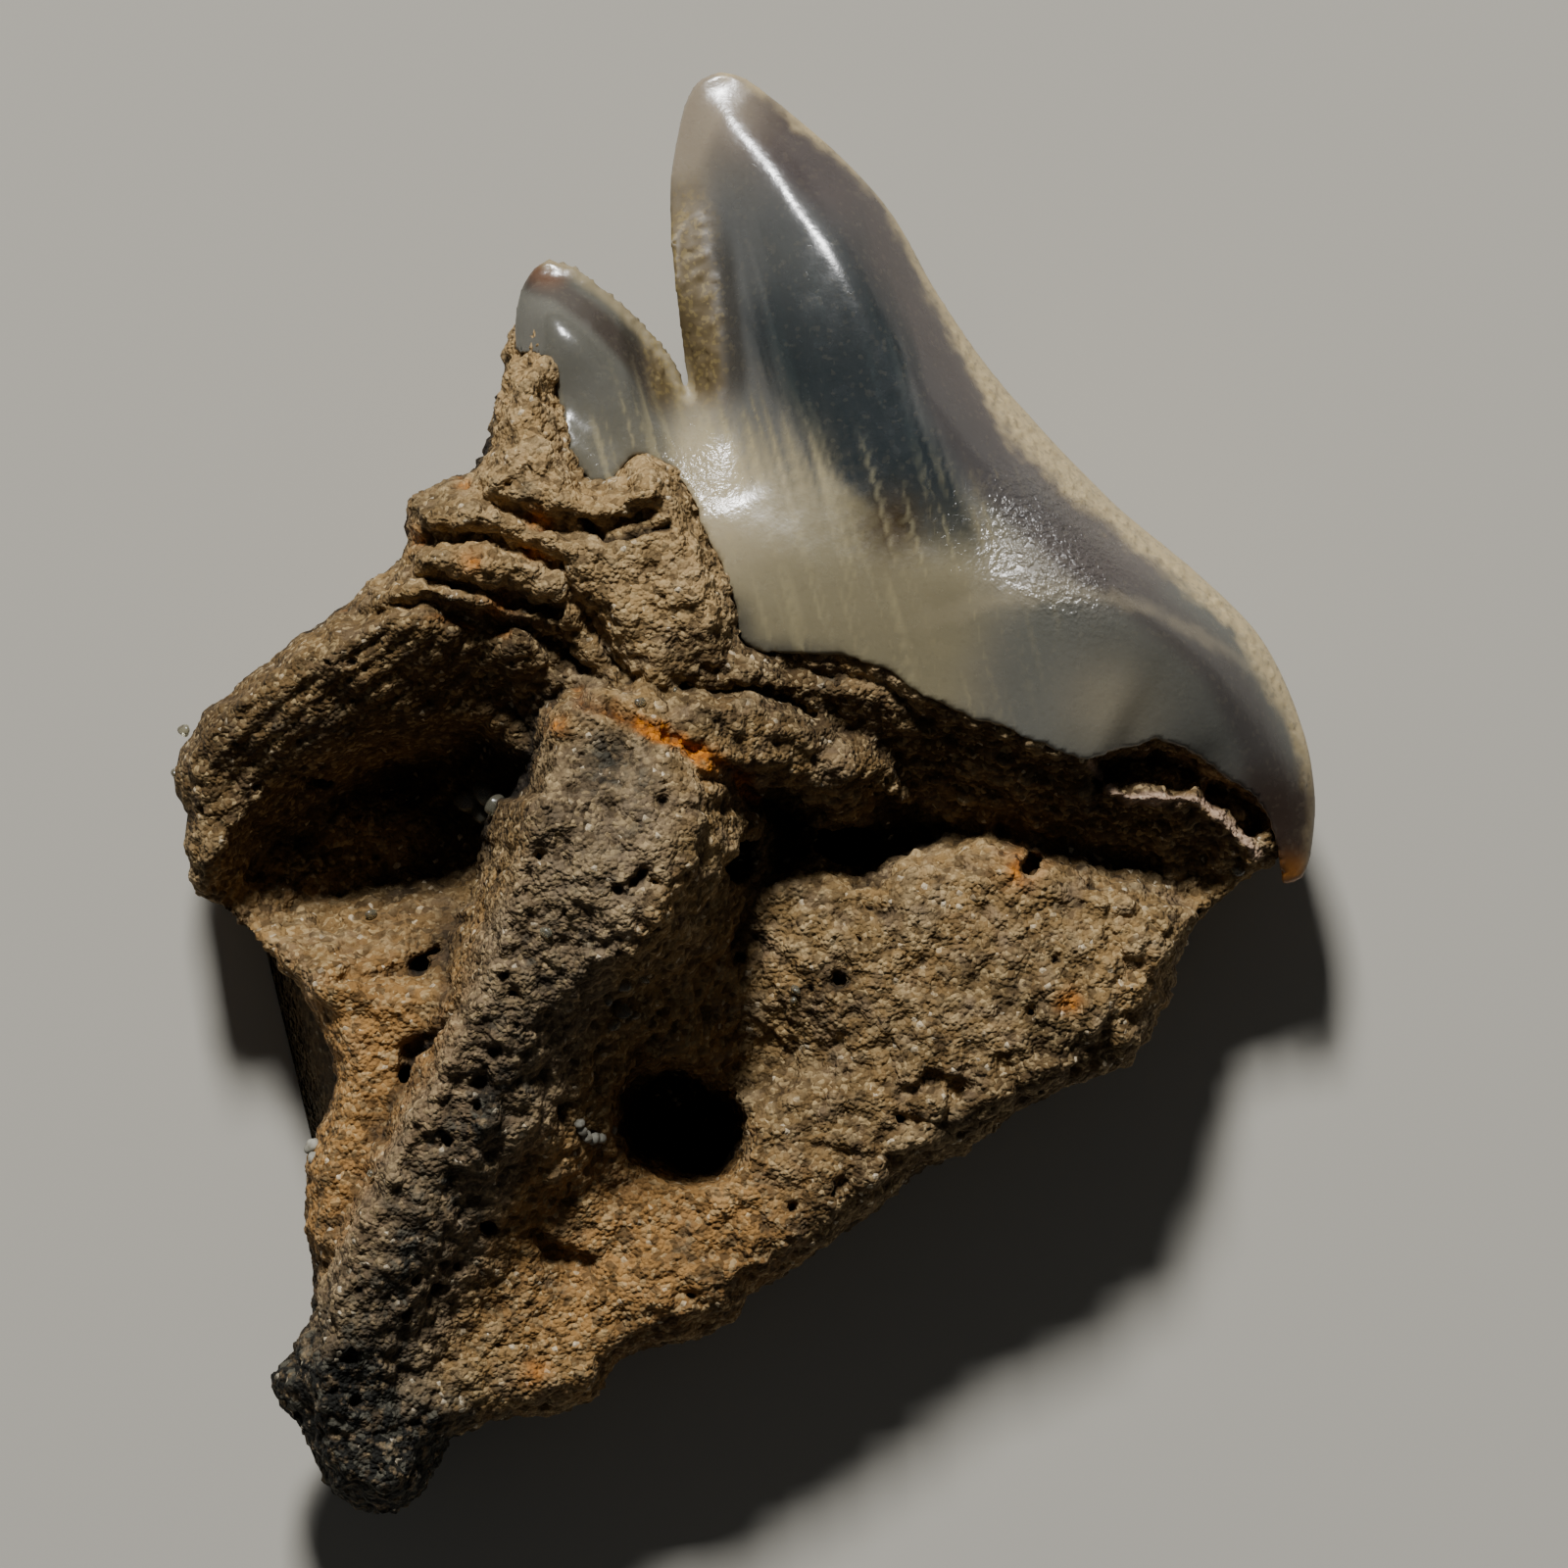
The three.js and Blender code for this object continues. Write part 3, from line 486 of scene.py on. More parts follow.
def surface_net(values, low, cell):
    untangle(values)
    solid = values < 0
    shape = np.array(values.shape)
    count = np.zeros(shape - 1, np.int8)
    for c in CORNERS:
        count += solid[tuple(slice(a, n - 1 + a) for a, n in zip(c, shape))]
    cells = np.argwhere((count > 0) & (count < 8))
    total, crossings = np.zeros((len(cells), 3)), np.zeros(len(cells))
    for axis in range(3):
        for c in CORNERS:
            if c[axis]:
                continue
            end = np.array(c)
            end[axis] = 1
            a = values[tuple((cells + c).T)]
            b = values[tuple((cells + end).T)]
            hit = (a < 0) != (b < 0)
            place = np.tile(np.array(c, float), (len(cells), 1))
            place[:, axis] = a / np.where(hit, a - b, 1)
            total[hit] += place[hit]
            crossings += hit
    vertices = low + cell * (cells + total / crossings[:, None])
    ids = np.full(shape - 1, -1, np.int32)
    ids[tuple(cells.T)] = np.arange(len(cells))
    quads = []
    for axis in range(3):
        u, v = (axis + 1) % 3, (axis + 2) % 3
        cut = [slice(1, -1)] * 3
        cut[axis] = slice(0, -1)
        after = list(cut)
        after[axis] = slice(1, None)
        here, there = solid[tuple(cut)], solid[tuple(after)]
        at = np.argwhere(here != there) + [0 if n == axis else 1 for n in range(3)]
        step = lambda a, b: ids[tuple((at - a * np.eye(3, dtype=int)[u] - b * np.eye(3, dtype=int)[v]).T)]
        face = np.stack([step(1, 1), step(0, 1), step(0, 0), step(1, 0)], axis=1)
        out = solid[tuple(at.T)]
        quads.append(np.where(out[:, None], face, face[:, ::-1]))
    return vertices, np.vstack(quads)

# %% [markdown]
# ## Meshing both parts
# The crown and the root are meshed apart, because each has its own material, and they overlap inside, where
# nobody sees. A cell of 0.045 mm is about the size of a fine silt grain and five of the photo's pixels.

# %% The grid, the crown and the root as fields
CELL = 0.045
LOW = np.array([-6.55, -7.75, -0.25])
HIGH = np.array([5.75, 7.6, 4.85])
axes = [np.arange(LOW[n], HIGH[n], CELL) for n in range(3)]
plan_x, plan_y = np.meshgrid(axes[0], axes[1], indexing="ij")
heights = axes[2][None, None, :]
crown = crown_at(plan_x, plan_y)
crown["front"] = soften(crown["front"], round(2 * (0.085 / CELL) ** 2))
root = root_at(plan_x, plan_y, crown)

def field(part, edge):
    above, below = heights - part["front"][..., None], part["back"][..., None] - heights
    return np.maximum(np.maximum(above, below), -edge)

lean = 0.2 * np.maximum(0, crown["front"][..., None] - heights)  # of the crown's side walls
crown_field = field(crown, crown["inside"][..., None] - lean)
root_field = field(root, root["inside"][..., None])
NO_CAP = 99.0
under_cap = np.where(crown["inside"] > 0.0, crown["front"] - CAP_STEP, NO_CAP)[..., None]
root_field = np.maximum(root_field, heights - under_cap)
carve(root_field, axes, root["front"], HOLES)
crown_net = surface_net(crown_field, LOW, CELL)
root_net = surface_net(root_field, LOW, CELL)
print("crown", len(crown_net[1]) * 2, "triangles, root", len(root_net[1]) * 2)

# %% A Blender object from vertices and faces
def to_metres(points):
    return (points - MIDDLE) * 0.001

def to_plan(points):
    return points * 1000 + MIDDLE

def in_scene(name, data):
    obj = bpy.data.objects.new(name, data)
    bpy.context.scene.collection.objects.link(obj)
    return obj

def mesh_object(name, vertices, faces):
    mesh = bpy.data.meshes.new(name)
    mesh.vertices.add(len(vertices))
    mesh.vertices.foreach_set("co", to_metres(vertices).astype(np.float32).ravel())
    mesh.loops.add(faces.size)
    mesh.loops.foreach_set("vertex_index", faces.astype(np.int32).ravel())
    mesh.polygons.add(len(faces))
    mesh.polygons.foreach_set("loop_start", np.arange(0, faces.size, faces.shape[1], dtype=np.int32))
    mesh.polygons.foreach_set("use_smooth", np.ones(len(faces), bool))
    mesh.update(calc_edges=True)
    mesh.validate()
    return in_scene(name, mesh)

def points_and_normals(obj):
    points = np.zeros(len(obj.data.vertices) * 3, np.float32)
    normals = points.copy()
    obj.data.vertices.foreach_get("co", points)
    obj.data.vertices.foreach_get("normal", normals)
    return to_plan(points.reshape(-1, 3).astype(float)), normals.reshape(-1, 3).astype(float)

def move_points(obj, points):
    obj.data.vertices.foreach_set("co", to_metres(points).astype(np.float32).ravel())
    obj.data.update()

def mask(obj, name, values):
    layer = obj.data.attributes.new(name, "FLOAT", "POINT")
    layer.data.foreach_set("value", np.clip(values, 0, 1).astype(np.float32))

# %% [markdown]
# ## Fewer triangles where nobody looks
# The back of the root is nearly flat, so most of its triangles say nothing. The Decimate modifier merges the
# ones that a vertex group gives it, and the worn front keeps every one.

# %% The root, with a light back
def lighten_back(obj, most):
    points, normals = points_and_normals(obj)
    weight = ramp(-0.1, -0.5, normals[:, 2])
    group = obj.vertex_groups.new(name="back")
    for level in (0.25, 0.5, 0.75, 1.0):
        chosen = np.nonzero((weight > level - 0.25) & (weight <= level))[0]
        group.add(chosen.tolist(), level, "REPLACE")
    modifier = obj.modifiers.new("light back", "DECIMATE")
    modifier.ratio = min(1.0, most / (2 * len(obj.data.polygons)))
    modifier.vertex_group = "back"
    modifier.vertex_group_factor = 10
    evaluated = obj.evaluated_get(bpy.context.evaluated_depsgraph_get())
    lighter = bpy.data.meshes.new_from_object(evaluated)
    obj.modifiers.clear()
    obj.vertex_groups.clear()
    obj.data = lighter

crown_enamel = mesh_object("crown_enamel", *crown_net)
root_dentine = mesh_object("root_dentine", *root_net)
MOST_ROOT_TRIANGLES = 185000
lighten_back(root_dentine, MOST_ROOT_TRIANGLES)
root_dentine.data.polygons.foreach_set("use_smooth", np.ones(len(root_dentine.data.polygons), bool))
print("root now", sum(len(p.vertices) - 2 for p in root_dentine.data.polygons), "triangles")

# %% [markdown]
# ## The worn surface of the root
# Up close, old dentine is grainy: lumps of a few tenths of a millimetre, grains of a tenth on them, and open
# canal ends. The left bay and the lower bay were sheltered and are smoother. Each vertex moves along its
# normal by the sum of these, and the sum is kept as an attribute, because the colour gets painted shade
# where it is low and painted light where it is high.

# %% Grain, canal ends and cracks
def near_line(p, points):
    return near_path(p[:, 0], p[:, 1], points)

def patches(p, *rows):
    """Soft round patches, from rows of x, y, radius and an amount where it isn't 1."""
    total = 0
    for x, y, r, *amount in rows:
        total = total + (amount or [1])[0] * np.exp(-((p[:, 0] - x) ** 2 + (p[:, 1] - y) ** 2) / r**2)
    return total

RIDGE = [(-1.8, -0.2), (-2.0, -1.0), (-2.4, -1.8), (-2.9, -3.0), (-3.5, -4.1), (-4.0, -5.2), (-4.35, -6.1),
         (-4.35, -6.9)]

def root_relief(p):
    sheltered = patches(p, (-4.0, -2.6, 1.3), (-4.3, -4.0, 0.9), (-2.0, -5.0, 1.0), (-0.8, -4.5, 0.8))
    crest = ramp(0.8, 0.5, near_line(p, RIDGE))
    rough = 1 - 0.45 * np.clip(sheltered, 0, 1) * (1 - crest)
    rough *= 1 - 0.6 * lobe_face(p[:, 0], p[:, 1])
    bumps = 0.04 * noise(p, 0.33, 0) + 0.06 * cobbles(p, 0.2) + 0.045 * cobbles(p + 1.9, 0.11)
    near, chance = spots(p, 0.13)
    grains = 0.03 * ramp(0.07, 0.015, near) * (chance > 0.45)
    hole, pick = spots(p + 3.7, 0.3)
    often = 0.66 - 0.3 * crest
    radius = 0.035 + 0.11 * np.maximum(pick - often, 0)
    canals = (0.11 + 0.05 * crest) * ramp(radius, 0.3 * radius, hole) * (pick > often)
    crack = near_line(p, [(-2.05, 2.65), (-1.75, 2.5), (-1.4, 2.6), (-1.15, 2.62)])
    cracks = 0.13 * ramp(0.07, 0.01, crack)
    seam = near_line(p, SEAM)
    cracks += 0.10 * ramp(0.10, 0.02, seam + 0.03 * noise(p, 0.2, 3))
    return rough * (bumps + grains) - canals - cracks

LIP = [(3.6, -2.7), (2.2, -3.2), (0.9, -4.0), (-0.4, -5.1), (-1.6, -5.7)]
NECK = [(-0.6, 1.2), (0.1, 0.95), (1.0, 0.55), (2.0, 0.2), (3.0, -0.1), (4.2, -0.6)]
SEAM = [(-2.05, 0.83), (-1.7, 0.72), (-1.2, 0.48), (-0.8, 0.28), (-0.5, 0.1), (-0.32, -0.15)]
points, normals = points_and_normals(root_dentine)
relief = root_relief(points)
off_floor = ramp(0.02, 0.3, points[:, 2])
move = np.where(off_floor > 0.999, relief, np.minimum(relief * off_floor, 0.02 * off_floor))
move_points(root_dentine, points + normals * move[:, None])
mask(root_dentine, "relief", 0.5 + relief / 0.2)

# %% [markdown]
# ## Stains and painted shade of the root
# Buried bone takes up minerals: manganese turns it black, iron turns it rusty. The black follows the tip and
# the exposed ridge, and the rust sits in the seam beside the ridge's head and in a few pores. Painted shade
# darkens the hollows, the lobe's face that turns from the lamp, the neck under the crown and the lower lip.
# Each is a mask worked out from distances or depths, with noise to break its edge, and the colours come
# later in the material.

# %% Masks of the root
def on_grid(grid, p):
    """The value of a plan grid at each point, between its four nearest cells."""
    u, v = (p[:, 0] - LOW[0]) / CELL, (p[:, 1] - LOW[1]) / CELL
    i, j = (np.clip(np.floor(w).astype(int), 0, n - 2) for w, n in zip((u, v), grid.shape))
    fu, fv = u - i, v - j
    return ((grid[i, j] * (1 - fu) + grid[i + 1, j] * fu) * (1 - fv)
            + (grid[i, j + 1] * (1 - fu) + grid[i + 1, j + 1] * fu) * fv)

worn = 0.5 * noise(points, 0.5, 1) + 0.35 * noise(points, 0.2, 2) + 0.25 * noise(points, 0.1, 3)
# the smoothed surface and how far each point sinks below it, for the painted shade in the hollows
broad = soften(np.where(root["inside"] > 0, root["front"], RIM_Z), round(2 * (0.45 / CELL) ** 2))
sunk = (on_grid(broad, points) - points[:, 2]) * ramp(-0.3, 0.2, normals[:, 2])
x, y = points.T[:2]
from_ridge = near_line(points, RIDGE)
tip = ramp(-5.5, -6.5, y + 0.5 * (x + 4.2) + 0.4 * worn)
ridge = ramp(0.7, 0.1, from_ridge + 0.3 * worn) * (0.3 + 0.7 * ramp(-0.8, -4.5, y))
flecks = ramp(0.22, 0.6, worn) * 0.45
face = ramp(-1.6, -2.6, x) * ramp(2.3, 1.5, y) * ramp(-0.9, -0.3, y)
# painted shade where the lobe's face, the neck under the crown and the lower lip turn from the lamp
painted_shade = face * (0.75 + 0.4 * worn) + ramp(0.6, 0.2, near_line(points, NECK) + 0.2 * worn)
painted_shade += 0.7 * ramp(0.5, 0.1, near_line(points, LIP) + 0.25 * worn)
# lighter towards the root's upper left and on a patch by the crown's left foot
paler_top = ramp(-3.9, -3.0, x) * ramp(1.5, 2.1, y) + patches(points, (-0.9, 1.6, 0.5))
patchy = 0.45 + 0.9 * noise(points, 0.28, 3)
iron = 1.3 * ramp(0.13, 0.01, near_line(points, SEAM) + 0.1 * worn) * np.clip(patchy, 0.15, 1)
ledge = np.min([near_line(points, line) for line in CREVICES[:4]], axis=0)
iron += 0.9 * ramp(0.16, 0.03, ledge + 0.1 * worn) * ramp(0.1, 0.5, noise(points, 0.5, 1))
iron += patches(points, (-0.75, 0.22, 0.12, 0.9), (-0.4, 0.0, 0.1, 0.8))
iron += (0.7 + worn) * patches(
    points, (-3.88, 2.55, 0.13), (-3.15, 2.25, 0.13), (-2.9, 1.85, 0.15), (2.9, -2.2, 0.12),
    (-2.55, -6.0, 0.13), (2.4, -0.85, 0.2), (-2.3, 0.6, 0.1))
for name, values in {
    # painted shade: darker the deeper a place sinks below the smoothed surface, less so in two patches
    "painted_hollow_shade": ramp(0.0, 0.6, sunk + 0.1 * worn)
    + patches(points, (-0.9, -2.2, 0.9, -0.6), (-3.1, -1.1, 0.45, -0.8)),
    "manganese": tip + 0.7 * ridge + flecks + patches(points, (-1.8, 0.3, 0.3, 0.9)),
    "crest": ramp(0.85, 0.55, from_ridge + 0.12 * worn),
    # painted shade, with two more darker spots in the left bay and low on the slab
    "painted_shade": painted_shade + patches(points, (-3.9, -1.4, 0.5, 0.5), (0.5, -3.4, 0.8, 0.5)),
    "paler_top": paler_top * (0.8 + 0.5 * worn),
    "iron": iron * ramp(0.0, 0.45, normals[:, 2]),
    "clay": 0.5 * worn
    + patches(points, (-4.1, -2.9, 1.5), (-4.3, -4.0, 0.9), (-1.8, -5.0, 1.2), (-0.6, -4.6, 0.8)),
    "lime": ramp(0.07, 0.02, near_line(points, CHIP_FLAKE) + 0.03 * worn),
}.items():
    mask(root_dentine, name, values)

# %% [markdown]
# ## The surface of the crown
# Enameloid is dense, so it stays smooth. Wear shows along the cutting edges, where it has broken back into a
# grainy band, and as a very slight unevenness that breaks up the highlights.

# %% Wear of the enameloid
points, normals = points_and_normals(crown_enamel)
x, y = points.T[:2]

def along_cusp(heights, values):
    """A value that changes along the cusp, given at a few heights of the plan."""
    return np.interp(y, heights, values)

at = crown_at(x, y)
left, right, small_r = (np.abs(at[name]) for name in ("left", "right", "small_right"))
soft, fine, tiny = (noise(points, size, channel) for size, channel in ((0.55, 0), (0.12, 1), (0.06, 2)))
band = along_cusp([-0.9, 0.2, 1.0, 2.0, 2.8, 3.8, 4.6, 5.4, 7.2],
                  [0.0, 0.1, 0.18, 0.24, 0.28, 0.3, 0.1, 0.05, 0.03])
cream = ramp(0.1, -0.08, right - band + 0.07 * soft + 0.05 * fine)
olive = ramp(0.14, -0.12, left - 0.36 + 0.08 * soft + 0.05 * fine) * ramp(3.7, 4.1, y)
olive *= ramp(6.4, 5.6, y)
small_rim = ramp(0.05, -0.05, small_r - 0.11 + 0.02 * fine) * (x < -0.9)
grain, pick = spots(points, 0.09)
edge_wear = np.clip(cream + 0.8 * olive + small_rim, 0, 1) * ramp(0.02, 0.1, np.minimum(right, left))
relief = 0.005 * soft + 0.0012 * fine
relief += edge_wear * (0.03 * ramp(0.055, 0.01, grain) * (pick > 0.25) + 0.014 * tiny)
chips, pick = spots(points + 1.3, 0.4)
relief -= 0.035 * ramp(0.07, 0.02, chips) * (pick > 0.6) * edge_wear
crackled = patches(points, (2.55, 2.65, 0.5), (2.95, 2.15, 0.45), (-0.95, 3.1, 0.4, 0.5))
relief -= 0.006 * crackled * ramp(-0.1, 0.5, fine) + 0.004 * crackled * tiny
move_points(crown_enamel, points + normals * relief[:, None])

# %% [markdown]
# ## Colours inside the enameloid
# The crown's colour isn't paint. It comes from the thickness of the mineral and from what it took up in the
# ground: smoke blue in the middle of the cusp, milky where it is thick over the base, violet near the edges. The
# masks fade along the cusp's own direction, because the mineral grew in fibres that run that way.

# %% Masks of the crown
fibres = flat_noise(x * 9 + 2.4 * y, y * 0.6, 0.5, 2) + 0.7 * flat_noise(x * 20 + 5.5 * y, y * 0.8, 0.5, 1)
heights_of_smoke = [2.4, 2.9, 3.4, 4.0, 4.7, 5.3]
middle = along_cusp(heights_of_smoke, [1.72, 1.28, 0.92, 0.62, 0.38, 0.32])
half = along_cusp(heights_of_smoke, [0.3, 0.5, 0.66, 0.72, 0.78, 0.6])
blue = ramp(1.25, 0.7, np.abs(x - middle) / half + 0.12 * fibres + 0.1 * soft)
blue *= along_cusp([2.2, 2.6, 3.1, 4.2, 4.8, 5.4, 6.0], [0.0, 0.8, 1.0, 0.95, 0.8, 0.45, 0.0])
pale = patches(points, (-0.75, 2.75, 0.65), (-0.95, 3.2, 0.4), (3.3, 0.8, 0.5, 0.5))
pale += patches(points, (0.1, 3.0, 0.5, 0.45)) * (0.7 + fibres)
streak = near_line(points, [(1.1, 1.55), (2.16, 1.87), (3.0, 1.95), (4.14, 1.57), (4.74, 1.22)])
pale += 0.28 * ramp(0.14, 0.02, streak + 0.05 * soft + 0.05 * fine) * ramp(1.0, 2.2, x)
from_dark_line = np.abs(right - along_cusp([0.0, 2.0, 3.0, 4.5, 6.5], [0.45, 0.62, 0.75, 0.4, 0.3]))
small = ramp(-0.95, -1.3, x)
for name, values in {
    "cream": cream,
    "olive": olive,
    "rim": small_rim,
    "crackled": crackled,
    "blue": blue,
    "pale": pale,
    "fibres": 0.5 + 0.5 * fibres,
    "grey": ramp(6.9, 5.6, y) * ramp(2.2, 3.0, y) * ramp(0.3, 0.6, left)
    * ramp(0.3, 0.7, right),
    "milky": ramp(3.9, 3.0, y - 0.3 * fibres + 0.35 * np.clip(x, -1, 2))
    * ramp(2.9, 1.6, x + 0.3 * soft),
    "violet": ramp(1.1, 0.5, right) * ramp(-0.6, 0.6, y + 0.3 * soft),
    "dark_line": ramp(0.34, 0.12, from_dark_line),
    "blade": ramp(1.5, 2.6, x)
    * ramp(2.1, 1.5, y + 0.15 * soft - 0.3 * (x - 2.8) * (x > 2.8)),
    "foot": ramp(0.28, 0.03, at["inside"] + 0.05 * soft) * ramp(0.9, 0.0, x)
    * ramp(2.1, 1.6, y),
    "heel": ramp(0.5, -0.3, y + 0.2 * soft) * ramp(3.9, 4.4, x),
    "amber": patches(points, (5.15, -0.98, 0.2)),
    "brown": patches(points, (1.08, 2.62, 0.36)) * (1 + 0.6 * fibres),
    "tip_pale": patches(points, (-0.75, 7.0, 0.55)) + ramp(0.45, 0.15, left) * ramp(5.6, 6.4, y),
    "inner_line": ramp(0.16, 0.04, np.abs(left - 0.5 + 0.05 * soft)) * ramp(5.9, 5.2, y)
    * ramp(3.7, 4.2, y),
    "side_cusplet": small,
    "side_band": small * ramp(0.16, 0.06, np.abs(small_r - 0.3 + 0.05 * soft))
    * ramp(3.6, 4.2, y),
    "side_rust": ramp(0.35, 0.1, np.hypot(x + 2.4, y - 5.3)),
}.items():
    mask(crown_enamel, name, values)

# %% [markdown]
# ## Colours and nodes
# Hex colours are what the eye sees on a screen, and the shader wants linear light, so one function turns one
# into the other. One function adds a node to the tree of the material that is being made. The others are named
# for what they say of the tooth: how much of a stain there is, how a colour lies on the one below, and what
# pattern breaks it up. Layers of stain are easier to change one by one than a colour painted by hand.

# %% Linear colour, nodes and a layered stain
def linear(hex_colour):
    parts = [int(hex_colour[n:n + 2], 16) / 255 for n in (1, 3, 5)]
    return tuple(c / 12.92 if c <= 0.04045 else ((c + 0.055) / 1.055) ** 2.4 for c in parts) + (1.0,)

def wire(made, **links):
    """Links or sets a node's inputs. An underscore in an input's name is a space, and i3 is input 3."""
    for key, value in links.items():
        socket = made.inputs[int(key[1:]) if key[1:].isdigit() else key.replace("_", " ")]
        if isinstance(value, bpy.types.NodeSocket):
            made.id_data.links.new(value, socket)
        else:
            socket.default_value = value

def node(kind, settings=None, **links):
    made = tree.nodes.new(kind)
    for key, value in (settings or {}).items():
        setattr(made, key, value)
    wire(made, **links)
    return made

def share(where, low=0.0, high=1.0, least=0.0, most=1.0):
    """How much there is of a pattern or of a named mask: least where it is low, and most where it is high."""
    where, most = (
        node("ShaderNodeAttribute", {"attribute_name": v}).outputs["Fac"] if isinstance(v, str) else v
        for v in (where, most))
    made = node("ShaderNodeMapRange", None, Value=where, From_Min=low, From_Max=high, To_Min=least, To_Max=most)
    return made.outputs["Result"]

def speckle(size_mm, low, high, detail=3.0, most=1.0):
    """Noise whose lumps are size_mm across, stretched between two values."""
    place = node("ShaderNodeTexCoord").outputs["Object"]
    made = node("ShaderNodeTexNoise", None, Vector=place, Scale=1000 / size_mm, Detail=detail)
    return share(made.outputs["Fac"], low, high, most=most)

def grains(size_mm):
    """Round grains of size_mm: one random number for each, and the distance from its middle."""
    place = node("ShaderNodeTexCoord").outputs["Object"]
    made = node("ShaderNodeTexVoronoi", None, Vector=place, Scale=1000 / size_mm)
    pick = node("ShaderNodeSeparateColor", None, Color=made.outputs["Color"]).outputs["Red"]
    return pick, made.outputs["Distance"]

def summed(total, *others):
    for other in others:
        total = node("ShaderNodeMath", None, i0=total, i1=other).outputs[0]
    return total

def stained(colour, *stains):
    """A colour under stains, each a hex colour, a mask or pattern, its strength and, if need be, its limits."""
    for hex_colour, where, most, *limits in stains:
        amount = share(where, *limits, most=most)
        mix = node("ShaderNodeMix", {"data_type": "RGBA"}, i0=amount, i6=colour, i7=linear(hex_colour))
        colour = mix.outputs[2]
    return colour

def bumps(height, depth_mm):
    return node("ShaderNodeBump", None, Height=height, Distance=depth_mm / 1000).outputs["Normal"]

def new_material(name):
    material = bpy.data.materials.new(name)
    material.use_nodes = True
    return material, material.node_tree, material.node_tree.nodes["Principled BSDF"]

# %% [markdown]
# ## Dentine
# The root is fossil dentine, a porous bone-like mineral. Dry and broken, it scatters light like soil: very
# rough, no clear highlight, with a few bright glints where a crystal face shows, which are also painted into
# its colour as pale specks. Its colour holds painted shade in the hollows and creases and painted light on
# the high grain as well. Its IOR is about 1.5, but on so rough a surface that gives only a faint veil.

# %% Dry fossil dentine
dentine, tree, shader = new_material("dry_fossil_dentine")
fine_pick, fine_distance = grains(0.05)
coarse_pick = grains(0.09)[0]
black = share("manganese", most=speckle(0.1, 0.25, 0.5))
rust = share("iron", most=speckle(0.12, 0.25, 0.5))
# pale specks on the high grain: a painted glint in the colour, and a smoother, shinier surface there
shiny_speck_and_painted_glint = share(fine_pick, 0.98, 0.99, most=share("relief", 0.4, 0.6))
colour = stained(
    linear("#8d7045"),
    ("#5c4a2c", speckle(0.9, 0.35, 0.7), 1.0),
    ("#7b6a56", speckle(0.35, 0.5, 0.7), 0.6),
    ("#a97a40", "clay", 0.65),
    # lighter towards the root's upper left
    ("#ad8f62", "paler_top", 0.7),
    ("#776751", "crest", 0.8),
    # painted shade on faces turned from the lamp
    ("#38270f", "painted_shade", 0.7),
    ("#c9ae7e", fine_pick, 0.5, 0.6, 0.95),
    ("#3a2a12", coarse_pick, 0.65, 0.4, 0.15),
    # painted shade in the low creases of the grain and painted light on its high tops
    ("#231708", "relief", 0.85, 0.45, 0.1),
    ("#c8ad80", "relief", 0.55, 0.6, 1.0),
    # painted shade in the hollows
    ("#0b0703", "painted_hollow_shade", 0.95),
    ("#15140e", black, 1.0),
    ("#5a574a", share(coarse_pick, 0.6, 0.9, most=black), 0.7),
    ("#9c5a14", rust, 1.0),
    ("#c97a10", share(fine_pick, 0.45, 0.9, most=rust), 1.0),
    ("#b99c84", "lime", 0.85),
    # painted glint
    ("#dccdb0", shiny_speck_and_painted_glint, 0.5),
)
height = node("ShaderNodeMath", {"operation": "MULTIPLY_ADD"}, i0=fine_distance, i1=-0.8,
              i2=speckle(0.16, 0.2, 0.8, most=1.6)).outputs[0]
wire(shader, Base_Color=colour, Roughness=share(shiny_speck_and_painted_glint, least=0.85, most=0.35), IOR=1.5, Specular_IOR_Level=0.3,
     Normal=bumps(height, 0.04))
root_dentine.data.materials.append(dentine)

# %% [markdown]
# ## Enameloid
# The crown is enameloid: fluorapatite crystals packed so close that it polishes like glass, with an IOR of about
# 1.63. It is slightly see-through, so the dark dentine under it shows as a blue-grey in the middle of the cusp,
# and it turns milky where it is thick and worn. Scattering under the surface is short, about 0.2 mm.

# %% Polished enameloid
enameloid, tree, shader = new_material("polished_enameloid")
pick = grains(0.04)[0]
cream_on_heel = share("heel", least=0.95, most=0.25)
colour = stained(
    linear("#7d776c"),
    ("#6b665f", speckle(1.5, 0.35, 0.65), 1.0),
    ("#4f4745", "violet", 0.8),
    ("#575a59", "grey", 0.7),
    ("#80775b", "milky", 0.9),
    ("#5b5c55", "blade", 0.8),
    ("#3d3535", "dark_line", 0.6),
    ("#20282b", "blue", 0.95),
    ("#b9ab8b", "pale", 0.7),
    ("#33240a", "brown", 0.9),
    ("#5c5a50", "side_cusplet", 0.8),
    ("#3b302b", "side_band", 0.7),
    ("#6b4a33", "side_rust", 0.8),
    ("#252a30", "foot", 0.6),
    ("#33261d", "heel", 0.9),
    ("#b8752c", "amber", 0.9),
    ("#a3957f", "tip_pale", 0.7),
    ("#625230", "olive", 0.95),
    ("#332f28", "inner_line", 0.7),
    ("#ab9f78", share("fibres", 0.55, 1.0, most="milky"), 0.4),
    ("#454f4d", share("fibres", 0.5, 1.1, most="blue"), 0.4),
    ("#9c9176", pick, 0.06, 0.86, 0.95),
    ("#37322b", pick, 0.08, 0.1, 0.03),
    ("#bba87f", share(pick, -0.6, 0.35, most=share("cream", most=cream_on_heel)), 1.0),
    ("#9a8d6e", "rim", 0.8),
    ("#93804c", share(pick, 0.7, 0.8, most="olive"), 0.45),
)
dull = summed(share("cream", least=0.2, most=0.36), share("olive", most=0.4), share("crackled", most=-0.07),
              speckle(0.2, 0.35, 0.7, most=0.1))
